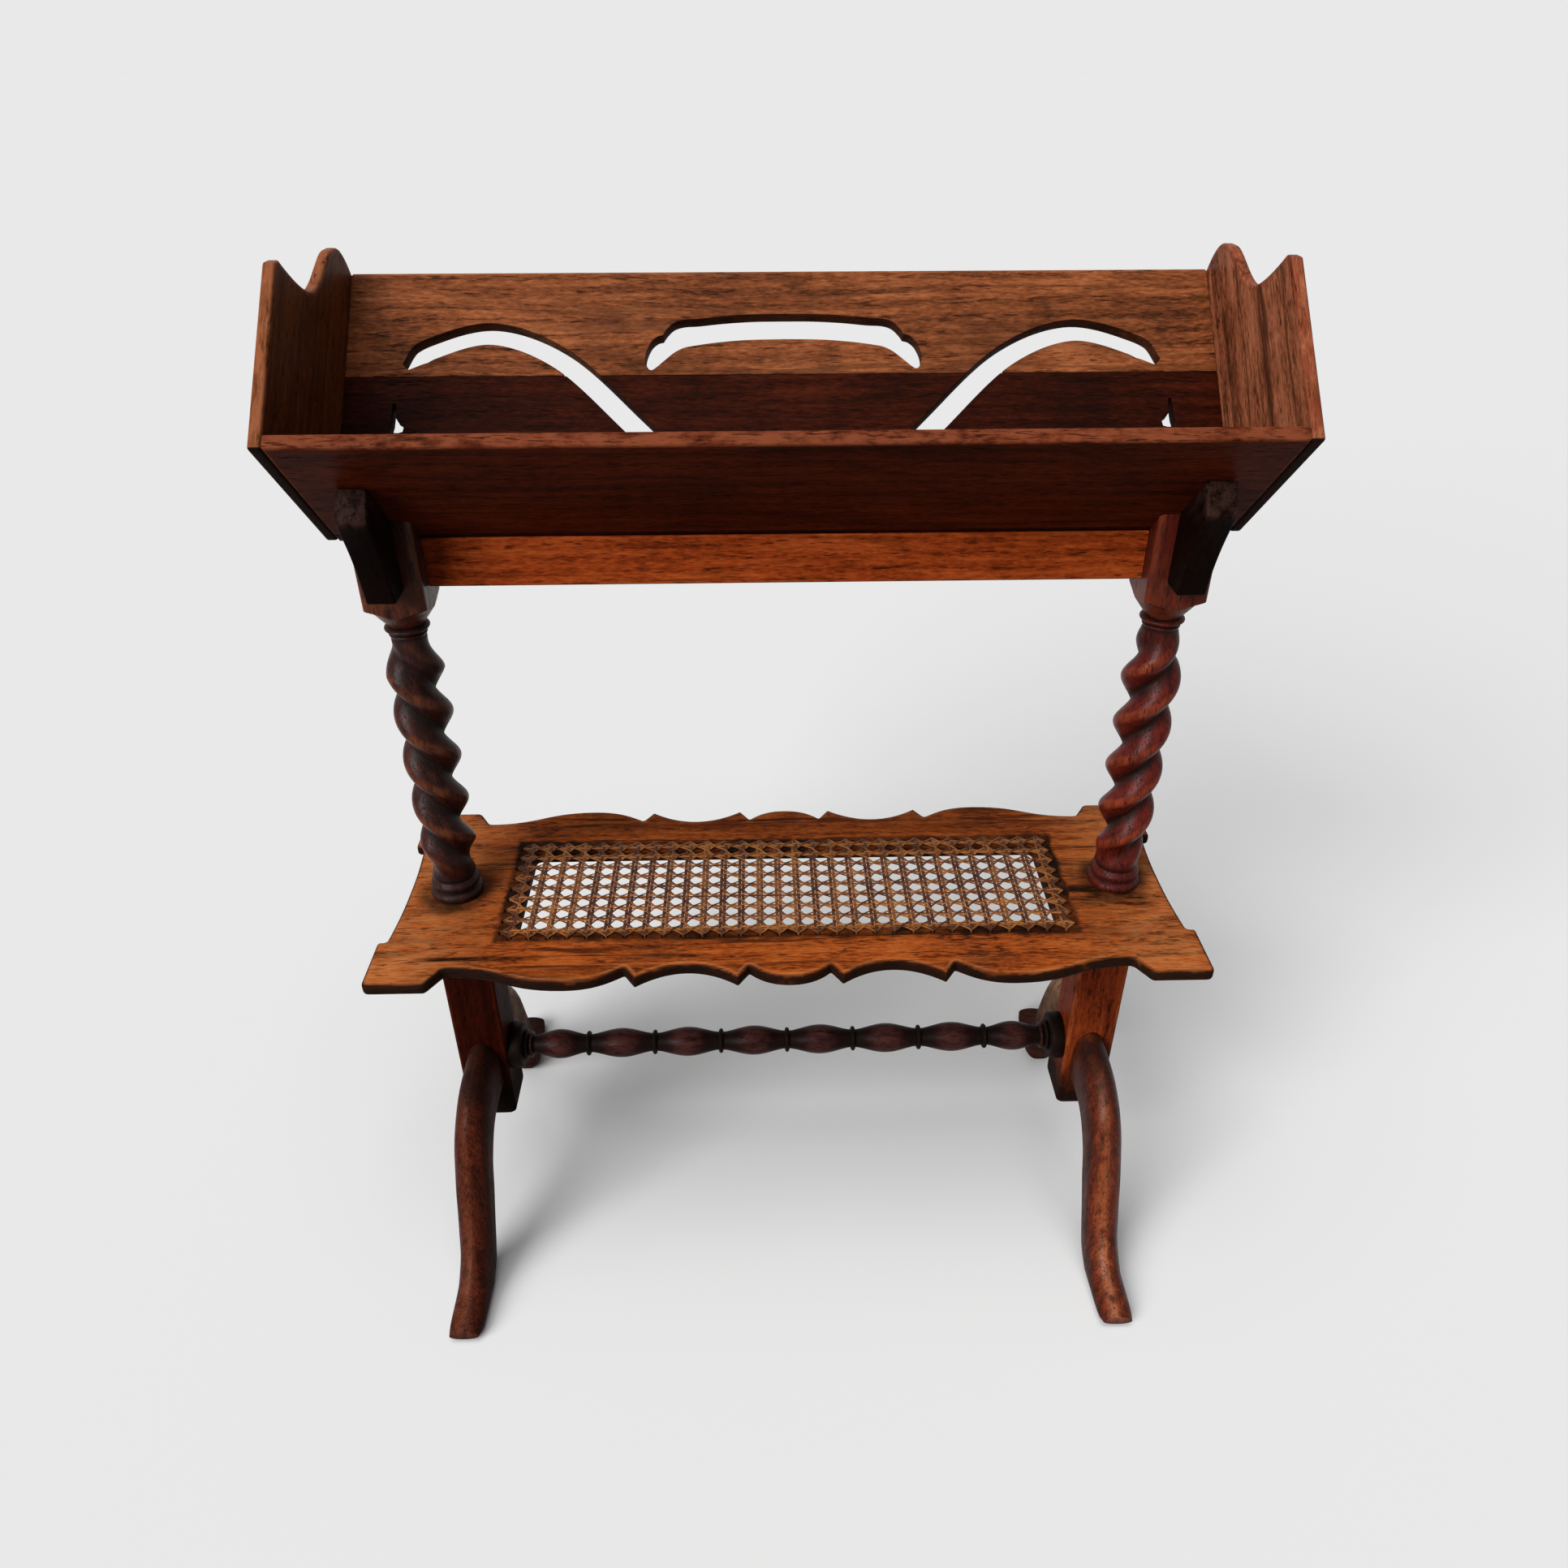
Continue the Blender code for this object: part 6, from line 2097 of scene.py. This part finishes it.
@dataclass
class Studio:
    """The camera, the pale floor and the soft light."""

    eye: Spot = (-0.019, -0.718, 0.875)
    pitch: float = radians(32.90)
    yaw: float = radians(1.34)
    roll: float = radians(-0.09)
    focal: float = 1439.9
    frame_width: float = 1932.0
    sensor: float = 36.0
    far: float = 200.0
    background: Colour = (0.815, 0.815, 0.815)
    paper: Colour = (0.752, 0.752, 0.752)
    bounce: Colour = (0.16, 0.16, 0.16)
    sky: float = 0.09
    key: float = 3.15
    key_from: Spot = (-0.58, -0.63, 0.51)
    key_spread: float = radians(36)
    top: float = 1.56
    top_from: Spot = (-0.10, -0.22, 0.97)
    top_spread: float = radians(46)
    floor_size: float = 60.0

    def camera(self) -> None:
        """Stand the camera where the photograph was taken."""
        forward = Vector((sin(self.yaw) * cos(self.pitch), cos(self.yaw) * cos(self.pitch),
                          -sin(self.pitch)))
        right = Vector((cos(self.yaw), -sin(self.yaw), 0.0))
        up = right.cross(forward)
        side = right * cos(self.roll) + up * sin(self.roll)
        top = up * cos(self.roll) - right * sin(self.roll)
        data = bpy.data.cameras.new("photo_camera")
        data.sensor_width = self.sensor
        data.lens = self.focal / self.frame_width * data.sensor_width
        data.clip_end = self.far
        eye = place_object("photo_camera", data)
        turn = Matrix((side, top, -forward)).transposed().to_4x4()
        eye.matrix_world = Matrix.Translation(self.eye) @ turn
        bpy.context.scene.camera = eye

    @staticmethod
    def seen(graph: Graph) -> Socket:
        """1 for what the camera sees, straight or in a reflection or through glass."""
        rays = graph.add("ShaderNodeLightPath").outputs
        share = graph.larger(rays["Is Camera Ray"], rays["Is Glossy Ray"])
        return graph.larger(share, rays["Is Transmission Ray"])

    def floor(self) -> None:
        """A pale floor that keeps the shadow, and throws back less light than it shows."""
        half = self.floor_size / 2
        mesh = bpy.data.meshes.new("paper_floor")
        mesh.from_pydata([(-half, -half, 0), (half, -half, 0), (half, half, 0), (-half, half, 0)], [], [(0, 1, 2, 3)])
        material, graph, surface = new_material("pale_paper")
        graph.feed(surface["Base Color"], graph.mix(self.seen(graph), self.bounce, self.paper))
        surface["Roughness"].default_value = 1.0
        surface["Specular IOR Level"].default_value = 0.0
        mesh.materials.append(material)
        floor = place_object("paper_floor", mesh)

    def light(self) -> None:
        """Even light from all round, and two wide soft lamps, from the front left and from above."""
        world = bpy.data.worlds.new("studio")
        bpy.context.scene.world = world
        world.use_nodes = True
        graph = Graph(world.node_tree)
        background = world.node_tree.nodes["Background"]
        colour = graph.mix(self.seen(graph), (self.sky,) * 3, self.background)
        graph.feed(background.inputs["Color"], colour)
        for name, energy, spread, way in (("key", self.key, self.key_spread, self.key_from),
                                          ("top", self.top, self.top_spread, self.top_from)):
            lamp = bpy.data.lights.new(name, "SUN")
            lamp.energy = energy
            lamp.angle = spread
            light = place_object(name, lamp)
            light.rotation_euler = Vector(way).to_track_quat("Z", "Y").to_euler()

    def build(self) -> None:
        """Set the stage."""
        bpy.context.scene.view_settings.view_transform = "Standard"
        self.camera()
        self.floor()
        self.light()
        LOG.info("studio: camera, floor and light")


def main() -> None:
    """Build every sub-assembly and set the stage."""
    logging.basicConfig(level=logging.INFO, format="%(name)s %(message)s")
    for part in (Shelf(), Cane(), Columns(), Stand(), Stretcher(), Trough(), Arms(), Studio()):
        part.build()


if __name__ == "__main__":
    main()
